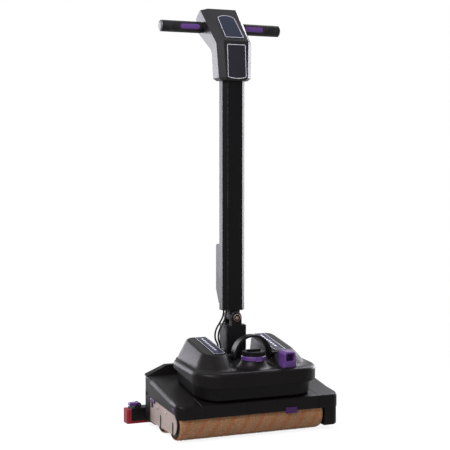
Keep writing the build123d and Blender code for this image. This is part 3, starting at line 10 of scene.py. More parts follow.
import bmesh
import bpy
from bmesh.types import BMesh, BMVert
from bpy.types import Material, Mesh, NodeSocket, NodeTree, Object
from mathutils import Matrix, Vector

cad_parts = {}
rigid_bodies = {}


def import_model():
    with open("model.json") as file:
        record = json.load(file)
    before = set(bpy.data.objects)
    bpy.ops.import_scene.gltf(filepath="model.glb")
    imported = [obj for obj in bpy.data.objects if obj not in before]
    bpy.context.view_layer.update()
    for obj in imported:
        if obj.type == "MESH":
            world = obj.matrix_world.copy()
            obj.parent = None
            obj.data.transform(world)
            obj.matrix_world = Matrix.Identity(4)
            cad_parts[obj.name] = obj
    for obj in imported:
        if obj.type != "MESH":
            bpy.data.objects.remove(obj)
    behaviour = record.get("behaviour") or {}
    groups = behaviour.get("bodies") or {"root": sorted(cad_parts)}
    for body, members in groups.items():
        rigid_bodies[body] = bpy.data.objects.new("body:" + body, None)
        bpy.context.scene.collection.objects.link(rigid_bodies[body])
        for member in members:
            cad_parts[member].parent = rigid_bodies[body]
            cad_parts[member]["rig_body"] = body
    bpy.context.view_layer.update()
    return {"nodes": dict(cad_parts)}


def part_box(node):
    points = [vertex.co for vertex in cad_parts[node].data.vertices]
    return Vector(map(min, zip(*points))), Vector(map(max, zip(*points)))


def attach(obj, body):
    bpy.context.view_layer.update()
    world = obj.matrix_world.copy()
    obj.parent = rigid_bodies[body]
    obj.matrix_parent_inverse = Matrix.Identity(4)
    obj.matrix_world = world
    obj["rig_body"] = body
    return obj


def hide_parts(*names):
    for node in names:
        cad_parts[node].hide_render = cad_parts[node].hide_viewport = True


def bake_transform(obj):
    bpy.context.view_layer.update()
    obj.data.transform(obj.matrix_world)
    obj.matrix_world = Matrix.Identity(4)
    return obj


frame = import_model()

MM = 0.001
WELD = 1e-6  # metres; points nearer than this are one
FLAT_ANGLE = math.radians(0.4)  # facets that meet flatter than this are one face
FACING = 0.7  # least cosine between a face's normal and the way it is to look
MAIN_FACE = 0.6  # least share of the largest such face's area
SHARPEST = 0.3  # keeps the mitre of a sharp corner short
ROUND = 0.5  # bevel profile that is a circle
MIDDLE = 0.5  # mean of a noise, and middle of a phase
EDGE_MARK = "broken_edge"
RIGHT, REAR, UP = Vector((1.0, 0.0, 0.0)), Vector((0.0, 1.0, 0.0)), Vector((0.0, 0.0, 1.0))

Pair = tuple[float, float]
Triple = tuple[float, float, float]
Number = Union[float, "Value"]
Input = Union[float, Sequence[float], Material, "Value", NodeSocket]
Settings = dict[str, object]
Inputs = dict[Union[int, str], Input]
Loop = list[Vector]
Rows = Sequence[Sequence[BMVert]]

log = logging.getLogger("scrubber")


def connect(tree: NodeTree, socket: NodeSocket, given: Input) -> None:
    """Set a socket to a plain value or link it.

    Args:
        tree: tree that holds the socket.
        socket: socket to set.
        given: value, or the socket or wrapped socket that feeds it.
    """
    source = given.socket if isinstance(given, Value) else given
    if isinstance(source, NodeSocket):
        tree.links.new(source, socket)
    else:
        socket.default_value = source


def add_node(tree: NodeTree, kind: str, settings: Settings, inputs: Inputs) -> Sequence[NodeSocket]:
    """Add any node to a tree.

    Args:
        tree: tree of a material, the world or a modifier.
        kind: Blender's name for the node type.
        settings: properties that are set before the sockets.
        inputs: values or links by socket index or name.

    Returns:
        The node's outputs.
    """
    made = tree.nodes.new(kind)
    for key, setting in settings.items():
        setattr(made, key, setting)
    for key, given in inputs.items():
        connect(tree, made.inputs[key], given)
    return made.outputs


@dataclass(frozen=True)
class Speckle:
    """Settings of a fractal noise, with the two limits between which a mask of it ramps up."""

    scale: float
    detail: float = 2.0
    rough: float = 0.5
    low: float = 0.0
    high: float = 1.0


class Value:
    """A socket of a material; arithmetic on it adds Math nodes to the material."""

    def __init__(self, graph: "Graph", socket: NodeSocket) -> None:
        """Keep the graph and the socket."""
        self.graph = graph
        self.socket = socket

    def __add__(self, other: Number) -> "Value":
        """Sum."""
        return self.graph.math("ADD", self, other)

    def __sub__(self, other: Number) -> "Value":
        """Difference."""
        return self.graph.math("SUBTRACT", self, other)

    def __rsub__(self, other: Number) -> "Value":
        """Difference with a plain number at the left."""
        return self.graph.math("SUBTRACT", other, self)

    def __mul__(self, other: Number) -> "Value":
        """Product."""
        return self.graph.math("MULTIPLY", self, other)

    def __truediv__(self, other: Number) -> "Value":
        """Quotient."""
        return self.graph.math("DIVIDE", self, other)

    __radd__ = __add__
    __rmul__ = __mul__

    def step(self, low: float, high: float) -> "Value":
        """Ramp smoothly from zero at low to one at high."""
        limits = {0: self, 1: low, 2: high, 3: 0.0, 4: 1.0}
        return self.graph.node("ShaderNodeMapRange", {"interpolation_type": "SMOOTHSTEP"}, limits)[0]


class Graph:
    """Node tree of one material, with a Principled shader at its end and object coordinates at its start."""

    def __init__(self, name: str) -> None:
        """Make the material, its shader and its coordinates.

        Args:
            name: name of the material.
        """
        self.material = bpy.data.materials.new(name)
        self.material.use_nodes = True
        self.tree = self.material.node_tree
        self.tree.nodes.clear()
        self.shader = self.tree.nodes.new("ShaderNodeBsdfPrincipled")
        add_node(self.tree, "ShaderNodeOutputMaterial", {}, {0: self.shader.outputs[0]})
        self.place = self.node("ShaderNodeTexCoord", {}, {})[3]

    def node(self, kind: str, settings: Settings, inputs: Inputs) -> list[Value]:
        """Add any node and wrap its outputs as values."""
        return [Value(self, output) for output in add_node(self.tree, kind, settings, inputs)]

    def math(self, operation: str, *operands: Number) -> Value:
        """Add one Math node."""
        return self.node("ShaderNodeMath", {"operation": operation}, dict(enumerate(operands)))[0]

    def axes(self) -> list[Value]:
        """The three object coordinates."""
        return self.node("ShaderNodeSeparateXYZ", {}, {0: self.place})

    def stretched(self, scale: Triple) -> Value:
        """The object coordinates scaled along each axis."""
        return self.node("ShaderNodeMapping", {}, {"Vector": self.place, "Scale": scale})[0]

    def edge(self) -> Value:
        """One on the broken edges that a softened copy carries, else zero."""
        return self.node("ShaderNodeAttribute", {"attribute_name": EDGE_MARK}, {})[2]

    def noise(self, speckle: Speckle, at: Union[Value, None] = None) -> Value:
        """Fractal noise between zero and one, over the object coordinates or another vector."""
        return self.node("ShaderNodeTexNoise", {"noise_dimensions": "3D"}, {
            "Vector": at or self.place, "Scale": speckle.scale, "Detail": speckle.detail,
            "Roughness": speckle.rough,
        })[0]

    def mask(self, speckle: Speckle) -> Value:
        """Noise ramped from zero at the speckle's low limit to one at its high limit."""
        return self.noise(speckle).step(speckle.low, speckle.high)

    def cells(self, scale: float) -> Value:
        """Distance to the nearest of scattered points."""
        return self.node("ShaderNodeTexVoronoi", {}, {"Vector": self.place, "Scale": scale})[0]

    def mix(self, factor: Number, first: Input, second: Input) -> Value:
        """Blend two colours, the first at factor zero and the second at one."""
        return self.node("ShaderNodeMix", {"data_type": "RGBA"}, {0: factor, 6: first, 7: second})[2]

    def bump(self, height: Value, strength: float, distance: float) -> Value:
        """Normal that follows a height."""
        inputs = {"Strength": strength, "Distance": distance, "Height": height}
        return self.node("ShaderNodeBump", {}, inputs)[0]


def tint(colour: Triple, factor: float = 1.0, lift: float = 0.0) -> tuple[float, float, float, float]:
    """A colour scaled and lifted, with full opacity."""
    red, green, blue = (min(1.0, part * factor + lift) for part in colour)
    return red, green, blue, 1.0


@dataclass(frozen=True)
class Finish:
    """A named finish; each kind of finish paints its own node tree."""

    name: str

    def material(self) -> Material:
        """The finish's material, made once.

        Returns:
            The material.
        """
        found = bpy.data.materials.get(self.name)
        if found:
            return found
        g = Graph(self.name)
        for socket, given in self.paint(g).items():
            connect(g.tree, g.shader.inputs[socket], given)
        return g.material

    def paint(self, g: Graph) -> dict[str, Input]:
        """Work out the shader's sockets by name."""
        raise NotImplementedError


@dataclass(frozen=True)
class Moulding(Finish):
    """Grained thermoplastic: fine leather-like grain, faint cloudiness and paler rubbed patches."""

    colour: Triple
    roughness: float = 0.42
    grain: float = 900.0
    depth: float = 0.05
    rub: float = 0.25
    gloss: float = 0.5
    wear: float = 0.6
    clouds: Speckle = Speckle(9.0, 3.0, 0.6)
    patches: Speckle = Speckle(38.0, 5.0, 0.7, 0.58, 0.78)
    scrapes: Speckle = Speckle(210.0, 4.0, 0.7, 0.42, 0.66)
    shaded: float = 0.72
    rubbed: Pair = (1.9, 0.012)
    scraped: Pair = (2.6, 0.03)
    cloud_rough: float = 0.14
    rub_smooth: float = 0.12
    scrape_rough: float = 0.15
    relief: float = 0.4 * MM

    def paint(self, g: Graph) -> dict[str, Input]:
        """Clouds, rubbed patches and scraped edges over the grain.

        Args:
            g: graph of the material.

        Returns:
            The shader's sockets by name.
        """
        clouds = g.noise(self.clouds)
        rub = g.mask(self.patches) * self.rub
        scrape = g.edge() * g.mask(self.scrapes) * self.wear
        base = g.mix(clouds, tint(self.colour, self.shaded), tint(self.colour))
        base = g.mix(rub, base, tint(self.colour, *self.rubbed))
        rough = self.roughness + (clouds - MIDDLE) * self.cloud_rough - rub * self.rub_smooth
        return {
            "Base Color": g.mix(scrape, base, tint(self.colour, *self.scraped)),
            "Roughness": rough + scrape * self.scrape_rough,
            "Specular IOR Level": self.gloss,
            "Normal": g.bump(g.cells(self.grain), self.depth, self.relief),
        }


@dataclass(frozen=True)
class Metal(Finish):
    """Drawn or brushed metal with fine lines along one axis."""

    colour: Triple
    roughness: float = 0.34
    lines: Triple = (30.0, 30.0, 1800.0)
    metallic: float = 1.0
    gloss: float = 0.5
    drawing: Speckle = Speckle(1.0, 4.0, 0.7)
    stains: Speckle = Speckle(24.0, 4.0, 0.6, 0.45, 0.8)
    scrapes: Speckle = Speckle(240.0, 3.0, 0.7, 0.4, 0.65)
    stained: float = 0.62
    scraped: Pair = (1.5, 0.05)
    wear: float = 0.5
    stain_share: float = 0.45
    line_share: float = 0.3
    line_rough: float = 0.2
    stain_rough: float = 0.1
    depth: float = 0.12
    relief: float = 0.3 * MM

    def paint(self, g: Graph) -> dict[str, Input]:
        """Stains and scraped edges over the drawn lines.

        Args:
            g: graph of the material.

        Returns:
            The shader's sockets by name.
        """
        drawn = g.noise(self.drawing, g.stretched(self.lines))
        stain = g.mask(self.stains)
        scrape = g.edge() * g.mask(self.scrapes) * self.wear
        dull = stain * self.stain_share + (drawn - MIDDLE) * self.line_share
        base = g.mix(dull, tint(self.colour), tint(self.colour, self.stained))
        return {
            "Base Color": g.mix(scrape, base, tint(self.colour, *self.scraped)),
            "Roughness": self.roughness + (drawn - MIDDLE) * self.line_rough + stain * self.stain_rough,
            "Metallic": self.metallic,
            "Specular IOR Level": self.gloss,
            "Normal": g.bump(drawn, self.depth, self.relief),
        }


@dataclass(frozen=True)
class Rubber(Finish):
    """Soft rubber with a dusty bloom and fine pores."""

    colour: Triple
    roughness: float = 0.62
    pores: float = 700.0
    gloss: float = 0.5
    bloom: Speckle = Speckle(30.0, 4.0, 0.65, 0.4, 0.8)
    bloomed: Pair = (1.3, 0.01)
    bloom_rough: float = 0.15
    depth: float = 0.08
    relief: float = 0.4 * MM

    def paint(self, g: Graph) -> dict[str, Input]:
        """Bloom over the pores.

        Args:
            g: graph of the material.

        Returns:
            The shader's sockets by name.
        """
        bloom = g.mask(self.bloom)
        return {
            "Base Color": g.mix(bloom, tint(self.colour), tint(self.colour, *self.bloomed)),
            "Roughness": self.roughness + bloom * self.bloom_rough,
            "Specular IOR Level": self.gloss,
            "Normal": g.bump(g.cells(self.pores), self.depth, self.relief),
        }


@dataclass(frozen=True)
class Pile(Finish):
    """Brush pile wound from a broad pale strip and a narrow orange one, both round the brush's own axis."""

    axis_y: float
    axis_z: float
    turn: float = 3.0
    pitch: float = 40.0 * MM
    band: float = 0.27
    blur: Pair = (0.05, 0.06)
    pale: Triple = (0.235, 0.122, 0.047)
    pale_low: Triple = (0.105, 0.047, 0.016)
    orange: Triple = (0.215, 0.063, 0.012)
    orange_low: float = 0.6
    orange_full: float = 0.7
    dye: float = 0.75
    dirt: float = 0.3
    straying: float = 0.12
    strays: Speckle = Speckle(160.0)
    tufts: Speckle = Speckle(260.0, 4.0, 0.75, 0.3, 0.75)
    clumps: Speckle = Speckle(90.0, 3.0, 0.6, 0.5, 0.9)
    roughness: float = 0.85
    depth: float = 0.5
    relief: float = 1.5 * MM

    def paint(self, g: Graph) -> dict[str, Input]:
        """Wound strips, tufts and dirt.

        Args:
            g: graph of the material.

        Returns:
            The shader's sockets by name.
        """
        x, y, z = g.axes()
        angle = g.math("ARCTAN2", z - self.axis_z, y - self.axis_y) / (2 * math.pi)
        stray = (g.noise(self.strays) - MIDDLE) * self.straying
        phase = g.math("FRACT", x / self.pitch + angle * self.turn + stray)
        off, half = g.math("ABSOLUTE", phase - MIDDLE), self.band / 2
        band = 1 - off.step(half - self.blur[0], half + self.blur[1])
        tuft = g.noise(self.tufts)
        pale = g.mix(tuft.step(self.tufts.low, self.tufts.high), tint(self.pale_low), tint(self.pale))
        low = tint(self.orange, self.orange_low)
        wound = g.mix(tuft.step(self.tufts.low, self.orange_full), low, tint(self.orange))
        base = g.mix(band * self.dye, pale, wound)
        return {
            "Base Color": g.mix(g.mask(self.clumps) * self.dirt, base, tint(self.pale_low)),
            "Roughness": self.roughness,
            "Normal": g.bump(tuft, self.depth, self.relief),
        }


@dataclass(frozen=True)
class Film(Finish):
    """Printed plastic film: dark, with a sheen that drifts over it."""

    colour: Triple
    roughness: float = 0.3
    gloss: float = 0.3
    drift: Speckle = Speckle(14.0)
    specks: Speckle = Speckle(900.0)
    paler: float = 1.5
    speck_rough: float = 0.12
    depth: float = 0.04
    relief: float = 0.2 * MM

    def paint(self, g: Graph) -> dict[str, Input]:
        """Drift of the colour and fine specks.

        Args:
            g: graph of the material.

        Returns:
            The shader's sockets by name.
        """
        speck = g.noise(self.specks)
        return {
            "Base Color": g.mix(g.noise(self.drift), tint(self.colour), tint(self.colour, self.paler)),
            "Roughness": self.roughness + (speck - MIDDLE) * self.speck_rough,
            "Specular IOR Level": self.gloss,
            "Normal": g.bump(speck, self.depth, self.relief),
        }


class Look(Enum):
    """The finishes of this machine."""

    SHELL = Moulding("black_shell", (0.0036, 0.0030, 0.0029), 0.38, 1100.0, gloss=0.07)
    HEAD = Moulding("black_head", (0.0052, 0.0048, 0.0054), 0.38, 1300.0, gloss=0.18)
    CASE = Moulding("black_case", (0.0042, 0.0036, 0.0035), 0.46, 900.0, 0.06, gloss=0.06)
    POLE = Moulding("black_pole", (0.0028, 0.0026, 0.0028), 0.36, 1500.0, 0.02, 0.15, gloss=0.07)
    BATTERY = Moulding("battery_case", (0.010, 0.010, 0.0115), 0.46, 800.0, 0.08, gloss=0.14)
    PURPLE = Moulding(
        "purple_moulding", (0.058, 0.021, 0.110), 0.40, 1200.0, 0.03, 0.2, gloss=0.26, wear=0.3
    )
    # Painted shade: a darker copy of the purple moulding for the tabs and the side latch, which sit in
    # shade.
    SHADED_PURPLE = Moulding(
        "shaded_purple_moulding", (0.029, 0.0065, 0.050), 0.44, 1200.0, 0.03, 0.2, gloss=0.14, wear=0.3
    )
    GEAR = Moulding("gear_moulding", (0.30, 0.29, 0.27), 0.5, 900.0)
    ALLOY = Metal("black_alloy", (0.0045, 0.0042, 0.0045), 0.42, (40.0, 40.0, 400.0), 0.0, 0.07)
    STEEL = Metal("brushed_plate", (0.29, 0.228, 0.203), 0.48, (30.0, 1600.0, 30.0))
    PIN = Metal("pin_steel", (0.45, 0.45, 0.46), 0.3)
    BOLT = Metal("bolt_steel", (0.26, 0.20, 0.17), 0.36)
    # Black paint of the motor cans, kept dark also as painted shade, so the motor seen through the slit in
    # the covers looks shaded.
    MOTOR = Metal("motor_paint_and_slit_shade", (0.012, 0.012, 0.0125), 0.45, (40.0, 40.0, 40.0), 0.0, 0.1)
    RED = Rubber("blade_rubber", (0.115, 0.0030, 0.0075), 0.5, gloss=0.12)
    GRIP = Rubber("soft_grip", (0.0045, 0.0042, 0.0044), 0.5, gloss=0.12)
    GRIP_END = Moulding("grip_end", (0.030, 0.030, 0.033), 0.50, 1300.0, 0.03, gloss=0.5)
    CABLE = Rubber("cable_jacket", (0.006, 0.006, 0.0062), 0.4, gloss=0.15)
    PANEL = Film("panel_print", (0.0080, 0.0105, 0.0175), 0.36, 0.07)
    DARK_PANEL = Film("dark_panel", (0.0055, 0.0050, 0.0075), 0.30, 0.16)
    # Painted shade: near-black film that stands for the shaded inside of the latch opening.
    SLOT_SHADE = Film("painted_slot_shade", (0.003, 0.003, 0.003), 0.6, 0.05)
    SILVER = Metal("silver_print", (0.46, 0.455, 0.50), 0.45, (200.0, 200.0, 200.0), 0.3)

    def material(self) -> Material:
        """The finish's material."""
        return self.value.material()


NODE_LOOKS: dict[Look, tuple[str, ...]] = {
    Look.SHELL: ("deck_cover", "front_cover", "tank_body", "tank_lid", "tank_cap", "carry_handle"),
    Look.CASE: (
        "gear_case_cover", "left_rear_cover", "squeegee_holder",
        "battery_cradle", "fan_housing", "water_pump",
    ),
    Look.HEAD: ("head_front", "head_rear"),
    Look.POLE: ("pole",),
    Look.BATTERY: ("battery",),
    Look.PURPLE: ("neck_collar", "fill_spout", "left_button", "right_button", "left_lever", "right_lever"),
    # The tabs and the side latch take the darker purple copy, which is painted shade.
    Look.SHADED_PURPLE: ("corner_tab", "front_tab", "side_latch"),
    Look.GEAR: (
        "front_brush_gear", "rear_brush_gear", "front_idler_gear", "rear_idler_gear",
        "drive_idler_gear", "motor_pinion", "suction_impeller", "spray_bar",
    ),
    Look.ALLOY: ("chassis", "yoke", "pole_foot", "pivot_bracket", "front_brush_core", "rear_brush_core"),
    Look.STEEL: ("left_end_plate",),
    Look.PIN: ("end_plate_screws", "tilt_pin", "handle_bar"),
    Look.BOLT: ("pivot_bolt",),
    # The motors' dark finish is partly paint and partly painted shade for the slit above them.
    Look.MOTOR: ("drive_motor", "suction_motor"),
    Look.RED: ("front_blade", "rear_blade", "blade_ends"),
    Look.GRIP: ("left_grip", "right_grip"),
    Look.PANEL: ("upper_panel", "pod_plates"),
    Look.DARK_PANEL: ("lower_panel",),
}


def dress_nodes() -> None:
    """Give every CAD node that stays in view its finish."""
    for look, nodes in NODE_LOOKS.items():
        for node in nodes:
            mesh = frame["nodes"][node].data
            mesh.materials.clear()
            mesh.materials.append(look.material())
            log.info("%s: %s", node, look.value.name)


def linked(name: str, data: bpy.types.ID) -> Object:
    """Make an object and link it to the scene.

    Args:
        name: name of the object.
        data: its mesh, curve, lamp or camera.

    Returns:
        The object.
    """
    made = bpy.data.objects.new(name, data)
    bpy.context.scene.collection.objects.link(made)
    return made


def new_piece(name: str, mesh: Mesh, body: str, material: Material, node: str = "") -> None:
    """Link a finished mesh as a piece that rides on a body, and report it.

    Args:
        name: name of the piece.
        mesh: mesh in the shared frame.
        body: CAD body that carries it.
        material: its material.
        node: CAD node that it stands for, if any.
    """
    mesh.materials.clear()
    mesh.materials.append(material)
    mesh.polygons.foreach_set("material_index", [0] * len(mesh.polygons))
    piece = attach(linked(name, mesh), body)
    if node:
        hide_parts(node)
    log.info("%s: %d faces", name, len(mesh.polygons))


def body_of(node: str) -> str:
    """Name of the body that carries a CAD node."""
    return frame["nodes"][node]["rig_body"]


def plain_mesh(holder: Object) -> Mesh:
    """Turn an object with modifiers into a plain mesh and drop the object.

    Args:
        holder: object that stays out of the scene's pieces.

    Returns:
        The evaluated mesh.
    """
    graph = bpy.context.evaluated_depsgraph_get()
    mesh = bpy.data.meshes.new_from_object(holder.evaluated_get(graph))
    bpy.data.objects.remove(holder)
    return mesh


def joined_faces(node: str) -> BMesh:
    """Copy of a CAD node's mesh with its doubles merged and its flat facets joined.

    Args:
        node: name of the CAD node.

    Returns:
        The copy, to be freed by the caller.
    """
    bm = bmesh.new()
    bm.from_mesh(frame["nodes"][node].data)
    bmesh.ops.remove_doubles(bm, verts=bm.verts, dist=WELD)
    bmesh.ops.dissolve_limit(bm, angle_limit=FLAT_ANGLE, verts=bm.verts, edges=bm.edges)
    return bm


def bridge(bm: BMesh, rows: Rows) -> None:
    """Join each closed row of points to the next one by quads.

    Args:
        bm: mesh that holds the points.
        rows: closed rows, all of the same length.
    """
    for near, far in zip(rows, rows[1:]):
        for index in range(len(near)):
            after = (index + 1) % len(near)
            bm.faces.new((near[index], near[after], far[after], far[index]))


def capped(bm: BMesh, rows: Rows) -> None:
    """Bridge the rows, close both ends with flat faces and shade the rest smoothly.

    Args:
        bm: mesh that holds the points.
        rows: closed rows, all of the same length.
    """
    bridge(bm, rows)
    bm.faces.new(rows[0])
    bm.faces.new(rows[-1])
    for face in bm.faces:
        face.smooth = len(face.verts) == 4


def finished(bm: BMesh, name: str, turn_out: bool = True) -> Mesh:
    """Make a mesh of a shape and free the shape.

    Args:
        bm: the shape.
        name: name of the mesh.
        turn_out: whether the faces are turned outwards first, which a CAD copy doesn't need.

    Returns:
        The mesh.
    """
    if turn_out:
        bmesh.ops.recalc_face_normals(bm, faces=bm.faces)
    mesh = bpy.data.meshes.new(name)
    bm.to_mesh(mesh)
    bm.free()
    return mesh


def cut_across(bm: BMesh, place: Vector, normal: Vector) -> None:
    """Cut every face of a mesh along a plane, keeping both sides."""
    everything = bm.verts[:] + bm.edges[:] + bm.faces[:]
    bmesh.ops.bisect_plane(bm, geom=everything, dist=WELD, plane_co=place, plane_no=normal)


def tight_reach(first: float, second: float, wide: float, tight: float) -> float:
    """Distance from a wide corner's centre to the outline of a tight corner between the same two sides.

    Args:
        first: part of the direction towards one side.
        second: part of the direction towards the other side.
        wide: radius of the wide corner.
        tight: radius of the tight corner.

    Returns:
        The distance along the direction.
    """
    inset = wide - tight
    if wide * second <= inset * first:
        return wide / first
    if wide * first <= inset * second:
        return wide / second
    lean = (first + second) * inset
    return lean + math.sqrt(max(0.0, lean * lean - 2 * inset * inset + tight * tight))


@dataclass(frozen=True)
class SoftEdges:
    """Copies of moulded nodes whose hard edges are broken by a small bevel, as a tool leaves them."""

    nodes: tuple[str, ...]
    width: float = 0.8 * MM
    segments: int = 2
    clamp: bool = True
    angle: float = math.radians(28.0)
    edge_slot: int = 1

    def build(self) -> None:
        """Make every copy."""
        for node in self.nodes:
            self.soften(node)

    def reshape(self, bm: BMesh) -> None:
        """Change the copy before its edges are broken; here it stays as it is."""

    def soften(self, node: str) -> None:
        """Bevel one copy, mark its broken edges for wear and let it stand for the node.

        Args:
            node: name of the CAD node.
        """
        bm = joined_faces(node)
        self.reshape(bm)
        for face in bm.faces:
            face.smooth = True
        copy = finished(bm, node + "_copy", False)
        copy.set_sharp_from_angle(angle=self.angle)
        material = frame["nodes"][node].data.materials[0]
        for _ in range(self.edge_slot + 1):
            copy.materials.append(material)
        holder = linked(node + "_holder", copy)
        bevel = holder.modifiers.new("bevel", "BEVEL")
        bevel.width = self.width
        bevel.segments = self.segments
        bevel.limit_method = "ANGLE"
        bevel.angle_limit = self.angle
        bevel.material = self.edge_slot
        bevel.use_clamp_overlap = self.clamp
        holder.modifiers.new("flat_faces", "WEIGHTED_NORMAL").keep_sharp = True
        mesh = plain_mesh(holder)
        marks = mesh.attributes.new(EDGE_MARK, "FLOAT", "FACE")
        for polygon in mesh.polygons:
            marks.data[polygon.index].value = float(polygon.material_index == self.edge_slot)
        new_piece(node + "_soft", mesh, body_of(node), material, node)


@dataclass(frozen=True)
class RolledFenders(SoftEdges):
    """Softened deck whose fenders roll over to the sides in a wide round."""

    nodes: tuple[str, ...] = ("deck_cover",)
    side: float = 228.8 * MM
    top: Vector = field(default_factory=lambda: Vector((0.0, 83.8, 134.0)) * MM)
    pitch: float = math.radians(10.0)
    tight: float = 7.0 * MM
    wide: float = 13.0 * MM
    front: Pair = (-125.0 * MM, -85.0 * MM)
    rear: Pair = (78.0 * MM, 58.0 * MM)
    cuts: int = 6
    slack: float = 0.1 * MM

    def reshape(self, bm: BMesh) -> None:
        """Cut the faces finely beside the rounds and widen the rounds.

        Args:
            bm: copy of the deck.
        """
        upward = Vector((0.0, -math.sin(self.pitch), math.cos(self.pitch)))
        for step in range(self.cuts + 1):
            share = step / self.cuts
            inset = self.tight + (self.wide - self.tight) * share
            for side in (-1.0, 1.0):
                cut_across(bm, RIGHT * (side * (self.side - inset)), RIGHT)
            cut_across(bm, self.top - upward * inset, upward)
            for first, last in (self.front, self.rear):
                cut_across(bm, REAR * (first + (last - first) * share), REAR)
        for vert in bm.verts:
            vert.co = self.rolled(vert.co)

    def rolled(self, spot: Vector) -> Vector:
        """Place of a point of the deck after the rounds have been widened.

        Args:
            spot: the point before.

        Returns:
            The point after; a point away from the rounds stays.
        """
        share = 1.0
        for first, last in (self.front, self.rear):
            share = min(share, max(0.0, (spot.y - first) / (last - first)))
        wide = self.tight + (self.wide - self.tight) * share
        level = self.top.z + (spot.y - self.top.y) * math.tan(self.pitch)
        depth = (level - spot.z) * math.cos(self.pitch)
        across, up = wide - (self.side - abs(spot.x)), wide - depth
        reach = math.hypot(across, up)
        if share <= 0 or across <= 0 or up <= 0 or depth < -self.slack or reach < WELD:
            return spot
        scale = wide / tight_reach(across / reach, up / reach, wide, self.tight)
        x = math.copysign(abs(spot.x) - across * (1.0 - scale), spot.x)
        return Vector((x, spot.y, spot.z - up * (1.0 - scale) / math.cos(self.pitch)))


@dataclass(frozen=True)
class PodOutline:
    """Rounded rectangle on a sloping plane: one end of a pod's lofted wall."""

    middle: Vector
    pitch: float
    width: float
    length: float
    corner: float
    sweep: float

    def along(self) -> Vector:
        """Direction on the plane that points to the rear."""
        return Vector((0.0, math.cos(self.pitch), math.sin(self.pitch)))

    def normal(self) -> Vector:
        """Upward normal of the plane."""
        return Vector((0.0, -math.sin(self.pitch), math.cos(self.pitch)))

    def outward(self, angle: float) -> Vector:
        """Direction on the plane at an angle from the x axis."""
        return RIGHT * math.cos(angle) + self.along() * math.sin(angle)

    def point(self, across: float, ahead: float, angle: float) -> Vector:
        """Point on the round of one corner; the outer front corner has the wide sweep.

        Args:
            across: -1 for the corners at the left, 1 for those at the right.
            ahead: -1 for the front corners, 1 for the rear ones.
            angle: direction of the outline's normal there.

        Returns:
            The point.
        """
        wide = ahead < 0 and across * self.middle.x > 0
        radius = self.sweep if wide else self.corner
        centre = self.middle + self.along() * (ahead * (self.length / 2 - radius))
        centre.x += across * (self.width / 2 - radius)
        return centre + self.outward(angle) * radius

    def level(self, y: float) -> float:
        """Height of the plane at a depth."""
        return self.middle.z + (y - self.middle.y) * math.tan(self.pitch)

    def edges(self) -> Pair:
        """Outer edge, taken as if at the right, and front edge."""
        front = self.middle.y - self.length / 2 * math.cos(self.pitch)
        return abs(self.middle.x) + self.width / 2, front


def pod_foot(side: float) -> PodOutline:
    """Outline of a pod's foot, just below the lid's top, at the left for side -1 or the right for 1."""
    return PodOutline(
        middle=Vector((side * 106.5, -32.0, 177.228)) * MM, pitch=math.radians(2.7),
        width=99.0 * MM, length=220.0 * MM, corner=34.0 * MM, sweep=64.0 * MM,
    )


def pod_crown(side: float) -> PodOutline:
    """Outline of a pod's top before its round, at the left for side -1 or the right for 1."""
    return PodOutline(
        middle=Vector((side * 95.0, -12.0, 221.0)) * MM, pitch=math.radians(10.0),
        width=66.0 * MM, length=164.0 * MM, corner=26.0 * MM, sweep=37.0 * MM,
    )


@dataclass(frozen=True)
class SweptPods(SoftEdges):
    """Softened lid whose pods turn from their outer flank to their front in a wide sweep."""

    nodes: tuple[str, ...] = ("tank_lid",)
    below: float = 4.5 * MM
    slack: float = 3.0 * MM
    cut: float = 6.0 * MM
    cuts: int = 15

    def reshape(self, bm: BMesh) -> None:
        """Cut the walls finely beside the corners and draw the corners in.

        Args:
            bm: copy of the lid.
        """
        outer, front = pod_foot(1.0).edges()
        for step in range(1, self.cuts + 1):
            cut_across(bm, RIGHT * (outer - step * self.cut), RIGHT)
            cut_across(bm, RIGHT * (step * self.cut - outer), RIGHT)
            cut_across(bm, REAR * (front + step * self.cut), REAR)
        for vert in bm.verts:
            vert.co = self.drawn_in(vert.co)

    def drawn_in(self, spot: Vector) -> Vector:
        """Place of a point of the lid after the outer front corners have been widened.

        Args:
            spot: the point before.

        Returns:
            The point after; a point outside the pods' corners stays.
        """
        side = math.copysign(1.0, spot.x)
        foot, crown = pod_foot(side), pod_crown(side)
        low, high = foot.level(spot.y), crown.level(spot.y)
        if spot.z < low - self.below or high - low < self.below:
            return spot
        rise = min(1.0, max(0.0, (spot.z - low) / (high - low)))
        (outer, front), (outer_high, front_high) = foot.edges(), crown.edges()
        wide = foot.sweep + (crown.sweep - foot.sweep) * rise
        tight = foot.corner + (crown.corner - foot.corner) * rise
        middle_x = outer + (outer_high - outer) * rise - wide
        middle_y = front + (front_high - front) * rise + wide
        across, ahead = abs(spot.x) - middle_x, middle_y - spot.y
        reach = math.hypot(across, ahead)
        if across <= 0 or ahead <= 0 or reach < WELD:
            return spot
        limit = tight_reach(across / reach, ahead / reach, wide, tight)
        if reach > limit + self.slack:
            return spot
        scale = wide / limit
        y = middle_y - ahead * scale
        slope = math.tan(foot.pitch) * (1.0 - rise) + math.tan(crown.pitch) * rise
        return Vector((side * (middle_x + across * scale), y, spot.z + (y - spot.y) * slope))


